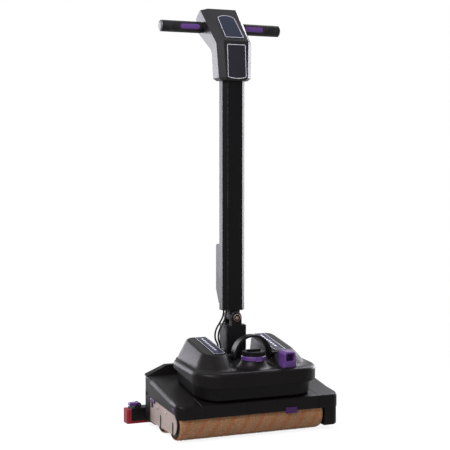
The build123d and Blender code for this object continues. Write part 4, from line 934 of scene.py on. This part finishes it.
@dataclass(frozen=True)
class PodHollow:
    """Hollow that leads from the lid's top into the foot of one pod, all round but for its rear."""

    side: float
    foot_depth: float = 1.0 * MM
    out: float = 5.5 * MM
    front_out: float = 10.0 * MM
    up: float = 11.0 * MM
    backing: float = 0.5 * MM
    arc_steps: int = 14
    across_steps: int = 8
    first_turn: float = 1.5
    last_turn: float = 4.5
    least: float = 0.03
    sharp: float = math.radians(50.0)

    def section(self, across: float, ahead: float, angle: float, share: float) -> Loop:
        """Closed section of the hollow at one place of the outline.

        Args:
            across: side of the corner, as for the outline's point.
            ahead: end of the corner, as for the outline's point.
            angle: direction of the outline's normal.
            share: size of the section, from almost nothing at the hollow's ends to one.

        Returns:
            The section's corners, the hollow curve first.
        """
        foot = pod_foot(self.side)
        low = foot.point(across, ahead, angle)
        wall = (pod_crown(self.side).point(across, ahead, angle) - low).normalized()
        outward, upward = foot.outward(angle), foot.normal()
        crease = low + wall * (self.foot_depth / wall.dot(upward))
        facing = (outward - wall * outward.dot(wall)).normalized()
        reach = self.out + (self.front_out - self.out) * max(0.0, -math.sin(angle))
        start, end = crease + outward * (reach * share), crease + wall * (self.up * share)
        curve = []
        for step in range(self.across_steps + 1):
            s = step / self.across_steps
            curve.append(start * (1 - s) ** 2 + crease * (2 * s * (1 - s)) + end * s ** 2)
        for front, inward in ((end, facing), (crease, facing + upward), (start, upward)):
            curve.append(front - inward * self.backing)
        return curve

    def sections(self) -> list[Loop]:
        """All sections from the rear of the left side round the front to the rear of the right side.

        Returns:
            The sections in order.
        """
        made = []
        for across, ahead, first, last in (
            (-1.0, 1.0, self.first_turn, 2.0), (-1.0, -1.0, 2.0, 3.0),
            (1.0, -1.0, 3.0, 4.0), (1.0, 1.0, 4.0, self.last_turn),
        ):
            for step in range(self.arc_steps + 1):
                turn = first + (last - first) * step / self.arc_steps
                inside = min(turn - self.first_turn, self.last_turn - turn)
                share = min(1.0, max(self.least, 2 * inside))
                made.append(self.section(across, ahead, turn * math.pi / 2, share))
        return made

    def build(self) -> None:
        """Make the strip."""
        bm = bmesh.new()
        capped(bm, [[bm.verts.new(corner) for corner in section] for section in self.sections()])
        name = "left_pod_hollow" if self.side < 0 else "right_pod_hollow"
        mesh = finished(bm, name)
        mesh.set_sharp_from_angle(angle=self.sharp)
        new_piece(name, mesh, "tank", Look.SHELL.material())


@dataclass(frozen=True)
class SpoutMouth:
    """Copy of the spout whose mouth has a thick round lip, as a soft moulding has."""

    node: str = "fill_spout"
    lip: float = 2.0 * MM
    segments: int = 4
    above: float = 6.0 * MM
    narrow: float = 0.88
    widen: float = 1.06
    level: float = 0.01 * MM
    front: float = -0.99
    spread: float = 1.05
    square: float = 1.0
    sharp: float = math.radians(40.0)

    def build(self) -> None:
        """Round the edges that lie in the mouth's plane and let the copy stand for the node."""
        low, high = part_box(self.node)
        bm = joined_faces(self.node)
        ring = {
            vert for vert in bm.verts
            if abs(vert.co.y - low.y) < self.level and vert.co.z > low.z + self.above
        }
        lips = [
            edge for edge in bm.edges
            if set(edge.verts) <= ring and len(edge.link_faces) == 2 and edge.calc_face_angle() > self.square
        ]
        bmesh.ops.bevel(
            bm, geom=lips, offset=self.lip, segments=self.segments, profile=ROUND, affect="EDGES",
            clamp_overlap=False,
        )
        self.taper(bm, low, high)
        for face in bm.faces:
            face.smooth = True
        mesh = finished(bm, "spout_mouth", False)
        mesh.set_sharp_from_angle(angle=self.sharp)
        new_piece("spout_mouth", mesh, body_of(self.node), Look.PURPLE.material(), self.node)

    def taper(self, bm: BMesh, low: Vector, high: Vector) -> None:
        """Draw the outside in towards the mouth and open the bore.

        Args:
            bm: copy of the spout.
            low: lowest corner of the spout's box.
            high: highest corner of the spout's box.
        """
        left, right, bottom, top = self.bore(bm, low)
        middle_x, middle_z = (left + right) / 2, (bottom + top) / 2
        slack = self.lip * self.spread
        for vert in bm.verts:
            x, y, z = vert.co
            within = left - slack < x < right + slack and bottom - slack < z < top + slack
            ahead = 1.0 - (y - low.y) / (high.y - low.y)
            if within:
                scale = self.widen
            else:
                scale = 1.0 - (1.0 - self.narrow) * max(0.0, ahead)
                if z < middle_z:
                    scale = 1.0 - (1.0 - scale) * max(0.0, (z - low.z) / (middle_z - low.z))
            vert.co.x = middle_x + (x - middle_x) * scale
            if within or z > middle_z:
                vert.co.z = middle_z + (z - middle_z) * scale

    def bore(self, bm: BMesh, low: Vector) -> tuple[float, float, float, float]:
        """Least and greatest x and z of the blind bore's floor.

        Args:
            bm: copy of the spout.
            low: lowest corner of the spout's box.

        Returns:
            The four limits.
        """
        floor = max(
            (
                face for face in bm.faces
                if face.normal.y < self.front and face.calc_center_median().y > low.y + self.above
            ),
            key=lambda face: face.calc_area(),
        )
        across = [vert.co.x for vert in floor.verts]
        up = [vert.co.z for vert in floor.verts]
        return min(across), max(across), min(up), max(up)


def inset_loop(loop: Loop, normal: Vector, distance: float) -> Loop:
    """Move a convex loop inwards, every side by the same distance.

    Args:
        loop: corners, anticlockwise about the normal.
        normal: direction that the loop faces.
        distance: how far each side moves.

    Returns:
        The moved corners.
    """
    moved = []
    for before, here, after in zip(loop[-1:] + loop[:-1], loop, loop[1:] + loop[:1]):
        first = normal.cross((here - before).normalized())
        second = normal.cross((after - here).normalized())
        middle = (first + second).normalized()
        moved.append(here + middle * (distance / max(SHARPEST, middle.dot(first))))
    return moved


def outward_faces(node: str, facing: Vector) -> list[tuple[Loop, Vector]]:
    """Large faces of a CAD node that look one way.

    Args:
        node: name of the CAD node.
        facing: direction that they look.

    Returns:
        The corners and the normal of each.
    """
    bm = joined_faces(node)
    ahead = [face for face in bm.faces if face.normal.dot(facing) > FACING]
    largest = max(face.calc_area() for face in ahead)
    found = [
        ([vert.co.copy() for vert in face.verts], face.normal.copy())
        for face in ahead
        if face.calc_area() > MAIN_FACE * largest
    ]
    bm.free()
    return found


@dataclass(frozen=True)
class Outline:
    """Silver line round the outward face of a panel, raised like thick ink."""

    node: str
    facing: Vector
    inset: float = 0.5 * MM
    width: float = 1.2 * MM
    proud: float = 0.12 * MM
    sunk: float = 0.05 * MM

    def build(self) -> None:
        """Make the line on every outward face."""
        bm = bmesh.new()
        for loop, normal in outward_faces(self.node, self.facing):
            outer = inset_loop(loop, normal, self.inset)
            inner = inset_loop(loop, normal, self.inset + self.width)
            rows = []
            for corners, height in (
                (outer, -self.sunk), (outer, self.proud), (inner, self.proud), (inner, -self.sunk)
            ):
                rows.append([bm.verts.new(corner + normal * height) for corner in corners])
            bridge(bm, rows + rows[:1])
        name = self.node + "_outline"
        new_piece(name, finished(bm, name), body_of(self.node), Look.SILVER.material())


class Growth:
    """Geometry node tree with named size inputs, which ends in real faces of one material."""

    def __init__(self, name: str, sizes: dict[str, tuple[str, object]]) -> None:
        """Make the tree and its sockets.

        Args:
            name: name of the tree.
            sizes: kind and value of each size input by name.
        """
        self.sizes = sizes
        self.tree = bpy.data.node_groups.new(name, "GeometryNodeTree")
        face = self.tree.interface
        face.new_socket("Geometry", in_out="INPUT", socket_type="NodeSocketGeometry")
        for size, (kind, _) in sizes.items():
            face.new_socket(size, in_out="INPUT", socket_type="NodeSocket" + kind)
        face.new_socket("Geometry", in_out="OUTPUT", socket_type="NodeSocketGeometry")
        self.given = self.node("NodeGroupInput", {}, {})

    def node(self, kind: str, settings: Settings, inputs: Inputs) -> Sequence[NodeSocket]:
        """Add any node and return its outputs."""
        return add_node(self.tree, kind, settings, inputs)

    def plant(self, where: Inputs, material: Material) -> None:
        """Set a shape on every point, make it real and give it its material.

        Args:
            where: points, instance, rotation and scale, by socket name.
            material: material of the shape.
        """
        planted = self.node("GeometryNodeInstanceOnPoints", {}, where)
        real = self.node("GeometryNodeRealizeInstances", {}, {0: planted[0]})
        painted = self.node("GeometryNodeSetMaterial", {}, {0: real[0], "Material": material})
        self.node("NodeGroupOutput", {}, {0: painted[0]})

    def grow(self, base: Mesh) -> Mesh:
        """Run the tree on a mesh.

        Args:
            base: mesh that the tree is given.

        Returns:
            What has grown, as a plain mesh.
        """
        holder = linked(base.name, base)
        growth = holder.modifiers.new("growth", "NODES")
        growth.node_group = self.tree
        for item in self.tree.interface.items_tree:
            if item.in_out == "INPUT" and item.name in self.sizes:
                growth[item.identifier] = self.sizes[item.name][1]
        return plain_mesh(holder)


@dataclass(frozen=True)
class PlateMarks:
    """Row of plain dashes along each sloping plate on the tank's shoulders, set out by a node tree."""

    node: str = "pod_plates"
    count: int = 9
    reach: float = 0.74
    dash: Triple = (5.5 * MM, 7.5 * MM, 0.24 * MM)

    def row(self, start: Vector, step: Vector, count: int, tilt: float, look: Look) -> Mesh:
        """Set out a row of dashes by a node tree.

        Args:
            start: middle of the first dash.
            step: way from one dash to the next.
            count: number of dashes.
            tilt: turn of each dash about the x axis.
            look: finish of the dashes.

        Returns:
            The row's mesh.
        """
        growth = Growth("dash_row", {
            "Count": ("Int", count), "Start": ("Vector", start[:]), "Step": ("Vector", step[:]),
            "Dash": ("Vector", self.dash), "Turn": ("Vector", (tilt, 0.0, 0.0)),
        })
        given = growth.given
        line = growth.node("GeometryNodeMeshLine", {"mode": "OFFSET"}, {
            "Count": given["Count"], "Start Location": given["Start"], "Offset": given["Step"],
        })
        cube = growth.node("GeometryNodeMeshCube", {}, {"Size": given["Dash"]})
        turn = growth.node("FunctionNodeEulerToRotation", {}, {0: given["Turn"]})
        growth.plant({"Points": line[0], "Instance": cube[0], "Rotation": turn[0]}, look.material())
        return growth.grow(bpy.data.meshes.new("dash_holder"))

    def build(self) -> None:
        """Set out the dashes on both plates, the last one towards the front in purple."""
        for index, (loop, normal) in enumerate(outward_faces(self.node, UP)):
            middle = sum(loop, Vector()) / len(loop)
            near, far = min(c.y for c in loop), max(c.y for c in loop)
            along = RIGHT.cross(normal)
            along *= math.copysign(1.0, along.y)
            span = (far - near) / along.y * self.reach
            step = along * (span / (self.count - 1))
            start = middle - along * (span / 2)
            tilt = -math.atan2(normal.y, normal.z)
            for name, first, count, look in (
                ("marks", start + step, self.count - 1, Look.SILVER), ("end_mark", start, 1, Look.PURPLE)
            ):
                mesh = self.row(first, step, count, tilt, look)
                new_piece(f"plate_{index}_{name}", mesh, body_of(self.node), look.material())


@dataclass(frozen=True)
class BoltHead:
    """Copy of the pivot bolt with a hexagon socket sunk into its head."""

    node: str = "pivot_bolt"
    share: float = 0.52
    depth: float = 2.6 * MM
    crown: float = 0.7 * MM
    front: float = -0.9

    def build(self) -> None:
        """Cut the socket into the front face of a copy and let it stand for the node."""
        bm = joined_faces(self.node)
        fronts = [face for face in bm.faces if face.normal.y < self.front]
        head = min(fronts, key=lambda face: face.calc_center_median().y)
        centre = head.calc_center_median()
        radius = max((vert.co - centre).length for vert in head.verts)
        socket, half = radius * self.share, math.pi / 6
        rings = []
        for reach, sink, six_sided in (
            (radius - self.crown, 0.0, False), (socket, 0.0, True), (socket, self.depth, True)
        ):
            row = []
            for vert in head.verts:
                angle = math.atan2(vert.co.z - centre.z, vert.co.x - centre.x)
                flat = math.cos(half) / math.cos((angle % (math.pi / 3)) - half) if six_sided else 1.0
                spot = centre + Vector((math.cos(angle), 0.0, math.sin(angle))) * (reach * flat)
                row.append(bm.verts.new(spot + REAR * sink))
            rings.append(row)
        outer = list(head.verts)
        bmesh.ops.delete(bm, geom=[head], context="FACES_ONLY")
        for vert in outer:
            vert.co.y += self.crown
        bridge(bm, [outer] + rings)
        bm.faces.new(rings[-1])
        mesh = finished(bm, "bolt_head")
        new_piece("bolt_head", mesh, body_of(self.node), Look.BOLT.material(), self.node)


@dataclass(frozen=True)
class GripEnd:
    """Domed cap on the outer end of one grip."""

    node: str
    side: float
    dome: float = 5.0 * MM
    seat: float = 3.0 * MM
    fullness: float = 0.3
    clear: float = 0.1 * MM
    rings: int = 10
    sides: int = 40

    def build(self) -> None:
        """Turn the dome about the grip's axis."""
        low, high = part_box(self.node)
        end = high.x if self.side > 0 else low.x
        axis_y, axis_z = (low.y + high.y) / 2, (low.z + high.z) / 2
        radius = (high.z - low.z) / 2 - self.clear
        bm = bmesh.new()
        rows = []
        for ring in range(self.rings):
            tilt = math.pi / 2 * ring / self.rings
            reach = radius * math.cos(tilt) ** self.fullness
            x = end + self.side * (self.dome * math.sin(tilt) - self.seat)
            row = []
            for side in range(self.sides):
                a = 2 * math.pi * side / self.sides
                row.append(bm.verts.new((x, axis_y + reach * math.cos(a), axis_z + reach * math.sin(a))))
            rows.append(row)
        capped(bm, rows)
        name = self.node + "_end"
        new_piece(name, finished(bm, name), body_of(self.node), Look.GRIP_END.material())


@dataclass(frozen=True)
class LatchSlot:
    """Opening in the end plate below the side latch, drawn as a thin matt plate whose dark colour is painted
    shade.
    """

    width: float = 16.0 * MM
    height: float = 14.0 * MM
    proud: float = 0.06 * MM
    drop: float = 0.3 * MM
    setback: float = 6.0 * MM
    corner: float = 1.2 * MM
    segments: int = 3

    def build(self) -> None:
        """Make the plate."""
        latch_low, latch_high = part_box("side_latch")
        plate_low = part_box("left_end_plate")[0]
        top, right = latch_low.z - self.drop, latch_high.y - self.setback
        bm = bmesh.new()
        for vert in bmesh.ops.create_cube(bm, size=1.0)["verts"]:
            vert.co.x = plate_low.x + (vert.co.x > 0) * self.proud - self.proud
            vert.co.y = right - (vert.co.y < 0) * self.width
            vert.co.z = top - (vert.co.z < 0) * self.height
        corners = [e for e in bm.edges if abs(e.verts[0].co.x - e.verts[1].co.x) > self.proud / 2]
        bmesh.ops.bevel(
            bm, geom=corners, offset=self.corner, segments=self.segments, profile=ROUND, affect="EDGES",
        )
        # The dark plate is painted shade standing in for the inside of the opening.
        new_piece("latch_slot", finished(bm, "latch_slot"), "base", Look.SLOT_SHADE.material())


@dataclass(frozen=True)
class BrushPile:
    """Dense pile of one brush: short strands over a wound backing, grown by a node tree."""

    place: str
    seed: int
    strand: float = 7.0 * MM
    thickness: float = 0.55 * MM
    point: float = 0.12 * MM
    density: float = 360000.0
    sway: float = 0.22
    shortest: float = 0.72
    strand_sides: int = 3
    backing: float = 2.2 * MM
    backing_sides: int = 72
    root_sides: int = 64
    rings: int = 90
    end_drop: float = 4.0 * MM
    end_run: float = 16.0 * MM

    def growth(self, name: str, material: Material) -> Growth:
        """Build the node tree that scatters strands over a drum.

        Args:
            name: name of the tree.
            material: material of the strands.

        Returns:
            The tree, with its sizes as named inputs.
        """
        growth = Growth(name, {
            "Density": ("Float", self.density), "Strand": ("Float", self.strand),
            "Thickness": ("Float", self.thickness),
        })
        given = growth.given
        points = growth.node("GeometryNodeDistributePointsOnFaces", {}, {
            "Mesh": given["Geometry"], "Density": given["Density"], "Seed": self.seed,
        })
        cone = growth.node("GeometryNodeMeshCone", {"fill_type": "NONE"}, {
            "Vertices": self.strand_sides, "Radius Top": self.point,
            "Radius Bottom": given["Thickness"], "Depth": given["Strand"],
        })
        lean = growth.node("FunctionNodeRandomValue", {"data_type": "FLOAT_VECTOR"}, {
            "Min": (-self.sway, -self.sway, 0.0), "Max": (self.sway, self.sway, 2 * math.pi),
            "Seed": self.seed + 1,
        })
        turn = growth.node("FunctionNodeEulerToRotation", {}, {0: lean[0]})
        turned = growth.node("FunctionNodeRotateRotation", {"rotation_space": "LOCAL"}, {
            "Rotation": points["Rotation"], "Rotate By": turn[0],
        })
        size = growth.node("FunctionNodeRandomValue", {}, {
            "Min": self.shortest, "Max": 1.0, "Seed": self.seed + 2,
        })
        growth.plant(
            {"Points": points["Points"], "Instance": cone[0], "Rotation": turned[0], "Scale": size[1]},
            material,
        )
        return growth

    def drum(self, finish: Pile, radius: float, sides: int) -> Mesh:
        """Open drum about the brush's axis.

        Args:
            finish: finish of the pile, which knows the axis.
            radius: radius of the drum.
            sides: facets round it.

        Returns:
            The mesh in the shared frame.
        """
        low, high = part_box(self.place + "_bristles")
        bm = bmesh.new()
        grid = []
        for ring in range(self.rings + 1):
            x = low.x + (high.x - low.x) * ring / self.rings
            row = []
            for side in range(sides):
                a = 2 * math.pi * side / sides
                y = finish.axis_y + radius * math.cos(a)
                row.append(bm.verts.new((x, y, finish.axis_z + radius * math.sin(a))))
            grid.append(row)
        bridge(bm, grid)
        return finished(bm, self.place + "_drum")

    def build(self) -> None:
        """Grow the pile and let it stand for the CAD bristles."""
        node, body = self.place + "_bristles", self.place + "_brush"
        core_low, core_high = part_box(body + "_core")
        axis_y, axis_z = (core_low.y + core_high.y) / 2, (core_low.z + core_high.z) / 2
        finish = Pile(self.place + "_pile_fibre", axis_y, axis_z)
        low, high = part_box(node)
        tip = (high.y - low.y) / 2
        growth = self.growth(node + "_pile", finish.material())
        mesh = growth.grow(self.drum(finish, tip - self.strand, self.root_sides))
        bm = bmesh.new()
        bm.from_mesh(mesh)
        bm.from_mesh(self.drum(finish, tip - self.backing, self.backing_sides))
        for vert in bm.verts:
            vert.co.x = min(max(vert.co.x, low.x), high.x)
            reach = math.hypot(vert.co.y - axis_y, vert.co.z - axis_z)
            inside = min(vert.co.x - low.x, high.x - vert.co.x)
            limit = tip - self.end_drop * max(0.0, 1.0 - inside / self.end_run) ** 2
            if reach > limit:
                vert.co.y = axis_y + (vert.co.y - axis_y) * limit / reach
                vert.co.z = axis_z + (vert.co.z - axis_z) * limit / reach
            vert.co.z = max(vert.co.z, 0.0)
        bm.to_mesh(mesh)
        bm.free()
        new_piece(node + "_pile", mesh, body, finish.material(), node)


@dataclass(frozen=True)
class Cable:
    """One cable that bows out from the pole foot to the gland on the yoke; bow and route in mm."""

    node: str
    depth: float
    bow: float
    radius: float = 2.5 * MM
    round_steps: int = 4
    length_steps: int = 8
    order: int = 3
    route: tuple[Triple, ...] = (
        (-22.0, 0.0, 306.0), (-22.0, 0.0, 292.0), (-30.0, 0.5, 274.0), (-40.0, 1.0, 258.0),
        (-45.0, 1.0, 242.0), (-44.0, 1.0, 226.0), (-38.0, 0.0, 211.0), (-38.0, 0.0, 200.0),
    )

    def mesh(self, bevel: float) -> Mesh:
        """Mesh of a NURBS curve along the route, whose points give x, the share of the bow, and z.

        Args:
            bevel: radius of the tube, or zero for the bare line.

        Returns:
            The plain mesh.
        """
        data = bpy.data.curves.new(self.node + "_line", "CURVE")
        data.dimensions = "3D"
        data.bevel_depth = bevel
        data.bevel_resolution = self.round_steps
        data.resolution_u = self.length_steps
        spline = data.splines.new("NURBS")
        spline.points.add(len(self.route) - 1)
        for point, (x, share, z) in zip(spline.points, self.route):
            point.co = ((x - self.bow * share) * MM, self.depth, z * MM, 1.0)
        spline.order_u = self.order
        spline.use_endpoint_u = True
        return plain_mesh(linked(self.node + "_curve", data))

    def build(self) -> None:
        line = [v.co.copy() for v in self.mesh(0.0).vertices]
        length = sum((b - a).length for a, b in zip(line, line[1:]))
        mesh = self.mesh(self.radius)
        mesh.materials.clear()
        mesh.materials.append(Look.CABLE.material())
        for polygon in mesh.polygons:
            polygon.use_smooth = True
        piece = linked(self.node + "_sheath", mesh)
        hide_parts(self.node)
        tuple(line[-3])
        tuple(line[1])
        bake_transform(piece)
        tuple(line[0])
        log.info("%s: %.3f m", piece.name, length)


@dataclass(frozen=True)
class Lamp:
    """Soft area lamp that the camera does not see."""

    name: str
    place: Triple
    aim: Triple
    size: Pair
    power: float
    colour: Triple = (0.93, 0.91, 1.0)

    def build(self) -> None:
        """Set the lamp up."""
        data = bpy.data.lights.new(self.name, "AREA")
        data.shape = "RECTANGLE"
        data.size, data.size_y = self.size
        data.energy = self.power
        data.color = self.colour
        lamp = linked(self.name, data)
        lamp.location = self.place
        lamp.rotation_mode = "QUATERNION"
        lamp.rotation_quaternion = (Vector(self.aim) - Vector(self.place)).to_track_quat("-Z", "Y")
        lamp.visible_camera = False


@dataclass(frozen=True)
class Studio:
    """Pale floor, soft lamps and the camera that stands where the photographer stood."""

    eye: Triple = (-1.2082, -2.7304, 0.6915)
    azimuth: float = math.radians(-23.2)
    image: float = 450.0
    focal: float = 1122.0
    drop: float = 58.0
    sensor: float = 36.0
    far: float = 50.0
    floor_reach: float = 30.0
    floor_gap: float = 0.2 * MM
    floor_colour: Triple = (0.85, 0.85, 0.86)
    fade: tuple[float, float, float, float] = (0.45, 1.3, 0.88, 1.0)
    sky_colour: Triple = (0.93, 0.93, 1.0)
    sky: float = 0.35
    lamps: tuple[Lamp, ...] = (
        Lamp("left_rim", (-1.04, 2.40, 0.75), (0.0, 0.0, 0.6), (1.6, 1.5), 66.0),
        Lamp("right_rim", (2.16, 1.0, 0.75), (0.0, 0.0, 0.6), (0.9, 1.5), 55.0),
        Lamp("key", (-1.25, -0.80, 2.05), (0.0, 0.0, 0.2), (1.2, 1.2), 100.0),
        Lamp("top", (1.4, 1.0, 1.9), (0.0, 0.0, 0.2), (0.9, 0.9), 48.0),
        Lamp("front", (-1.0, -2.6, 1.3), (0.0, 0.0, 0.6), (1.4, 1.4), 16.0, (1.0, 0.97, 0.94)),
    )

    def camera(self) -> None:
        """Place the camera; focal length and drop of the view are in the image's pixels."""
        data = bpy.data.cameras.new("camera")
        data.sensor_width = self.sensor
        data.lens = self.sensor * self.focal / self.image
        data.clip_end = self.far
        camera = linked("camera", data)
        pitch = math.atan2(self.drop, self.focal)
        flat = Vector((-math.sin(self.azimuth), math.cos(self.azimuth), 0.0))
        look = flat * math.cos(pitch) - UP * math.sin(pitch)
        camera.location = self.eye
        camera.rotation_mode = "QUATERNION"
        camera.rotation_quaternion = look.to_track_quat("-Z", "Y")
        bpy.context.scene.camera = camera

    def seen(self, tree: NodeTree) -> NodeSocket:
        """One for rays that show the surroundings: the camera's own, mirrored ones and those through glass.

        Args:
            tree: node tree of the floor or the world.

        Returns:
            The socket that tells.
        """
        ray = add_node(tree, "ShaderNodeLightPath", {}, {})
        shown = ray["Is Camera Ray"]
        for name in ("Is Glossy Ray", "Is Transmission Ray"):
            shown = add_node(tree, "ShaderNodeMath", {"operation": "MAXIMUM"}, {0: shown, 1: ray[name]})[0]
        return shown

    def floor(self) -> None:
        """Lay a pale floor that shows white to the camera and keeps a faint shadow."""
        bm = bmesh.new()
        bmesh.ops.create_grid(bm, x_segments=1, y_segments=1, size=self.floor_reach)
        mesh = finished(bm, "floor", False)
        floor = linked("floor", mesh)
        floor.location.z = -self.floor_gap
        material = bpy.data.materials.new("pale_floor")
        material.use_nodes = True
        tree = material.node_tree
        tree.nodes.clear()
        place = add_node(tree, "ShaderNodeTexCoord", {}, {})["Object"]
        reach = add_node(tree, "ShaderNodeVectorMath", {"operation": "LENGTH"}, {0: place})["Value"]
        ramp = {0: reach, **dict(enumerate(self.fade, start=1))}
        fade = add_node(tree, "ShaderNodeMapRange", {"interpolation_type": "SMOOTHSTEP"}, ramp)[0]
        share = add_node(tree, "ShaderNodeMath", {"operation": "MULTIPLY"}, {0: self.seen(tree), 1: fade})[0]
        diffuse = add_node(tree, "ShaderNodeBsdfDiffuse", {}, {0: tint(self.floor_colour)})[0]
        glow = add_node(tree, "ShaderNodeEmission", {}, {})[0]
        mixed = add_node(tree, "ShaderNodeMixShader", {}, {0: share, 1: diffuse, 2: glow})[0]
        add_node(tree, "ShaderNodeOutputMaterial", {}, {0: mixed})
        mesh.materials.append(material)

    def world(self) -> None:
        """White surroundings for the camera, a soft even light for the object."""
        world = bpy.data.worlds.new("studio")
        bpy.context.scene.world = world
        world.use_nodes = True
        tree = world.node_tree
        tree.nodes.clear()
        soft = add_node(tree, "ShaderNodeBackground", {}, {0: tint(self.sky_colour), 1: self.sky})[0]
        white = add_node(tree, "ShaderNodeBackground", {}, {0: (1.0, 1.0, 1.0, 1.0)})[0]
        mixed = add_node(tree, "ShaderNodeMixShader", {}, {0: self.seen(tree), 1: soft, 2: white})[0]
        add_node(tree, "ShaderNodeOutputWorld", {}, {0: mixed})

    def build(self) -> None:
        """Set up floor, light and camera."""
        bpy.context.scene.view_settings.view_transform = "Standard"
        self.camera()
        self.floor()
        self.world()
        for lamp in self.lamps:
            lamp.build()


def main() -> None:
    """Build every piece in order."""
    logging.basicConfig(level=logging.INFO, format="%(message)s")
    Studio().build()
    Cable("front_cable", 30.0 * MM, 0.0).build()
    Cable("rear_cable", 46.0 * MM, 3.0).build()
    dress_nodes()
    for piece in (
        BrushPile("front", 3),
        BrushPile("rear", 9),
        RolledFenders(),
        SoftEdges(("front_cover", "tank_body", "gear_case_cover", "left_rear_cover")),
        SweptPods(),
        SoftEdges(("head_front", "head_rear", "pole", "pole_foot", "battery", "battery_cradle")),
        SoftEdges(("yoke",), 2.5 * MM, 3, False),
        SoftEdges(("squeegee_holder", "carry_handle", "left_lever", "right_lever"), 0.6 * MM),
        SpoutMouth(),
        PodHollow(-1.0),
        PodHollow(1.0),
        SoftEdges(("neck_collar", "side_latch", "front_tab", "corner_tab"), 0.4 * MM),
        Outline("upper_panel", Vector((0.0, -0.7, 0.7))),
        Outline("lower_panel", -REAR),
        Outline("pod_plates", UP, width=1.0 * MM),
        PlateMarks(),
        LatchSlot(),
        BoltHead(),
        GripEnd("left_grip", -1.0),
        GripEnd("right_grip", 1.0),
    ):
        piece.build()


if __name__ == "__main__":
    main()
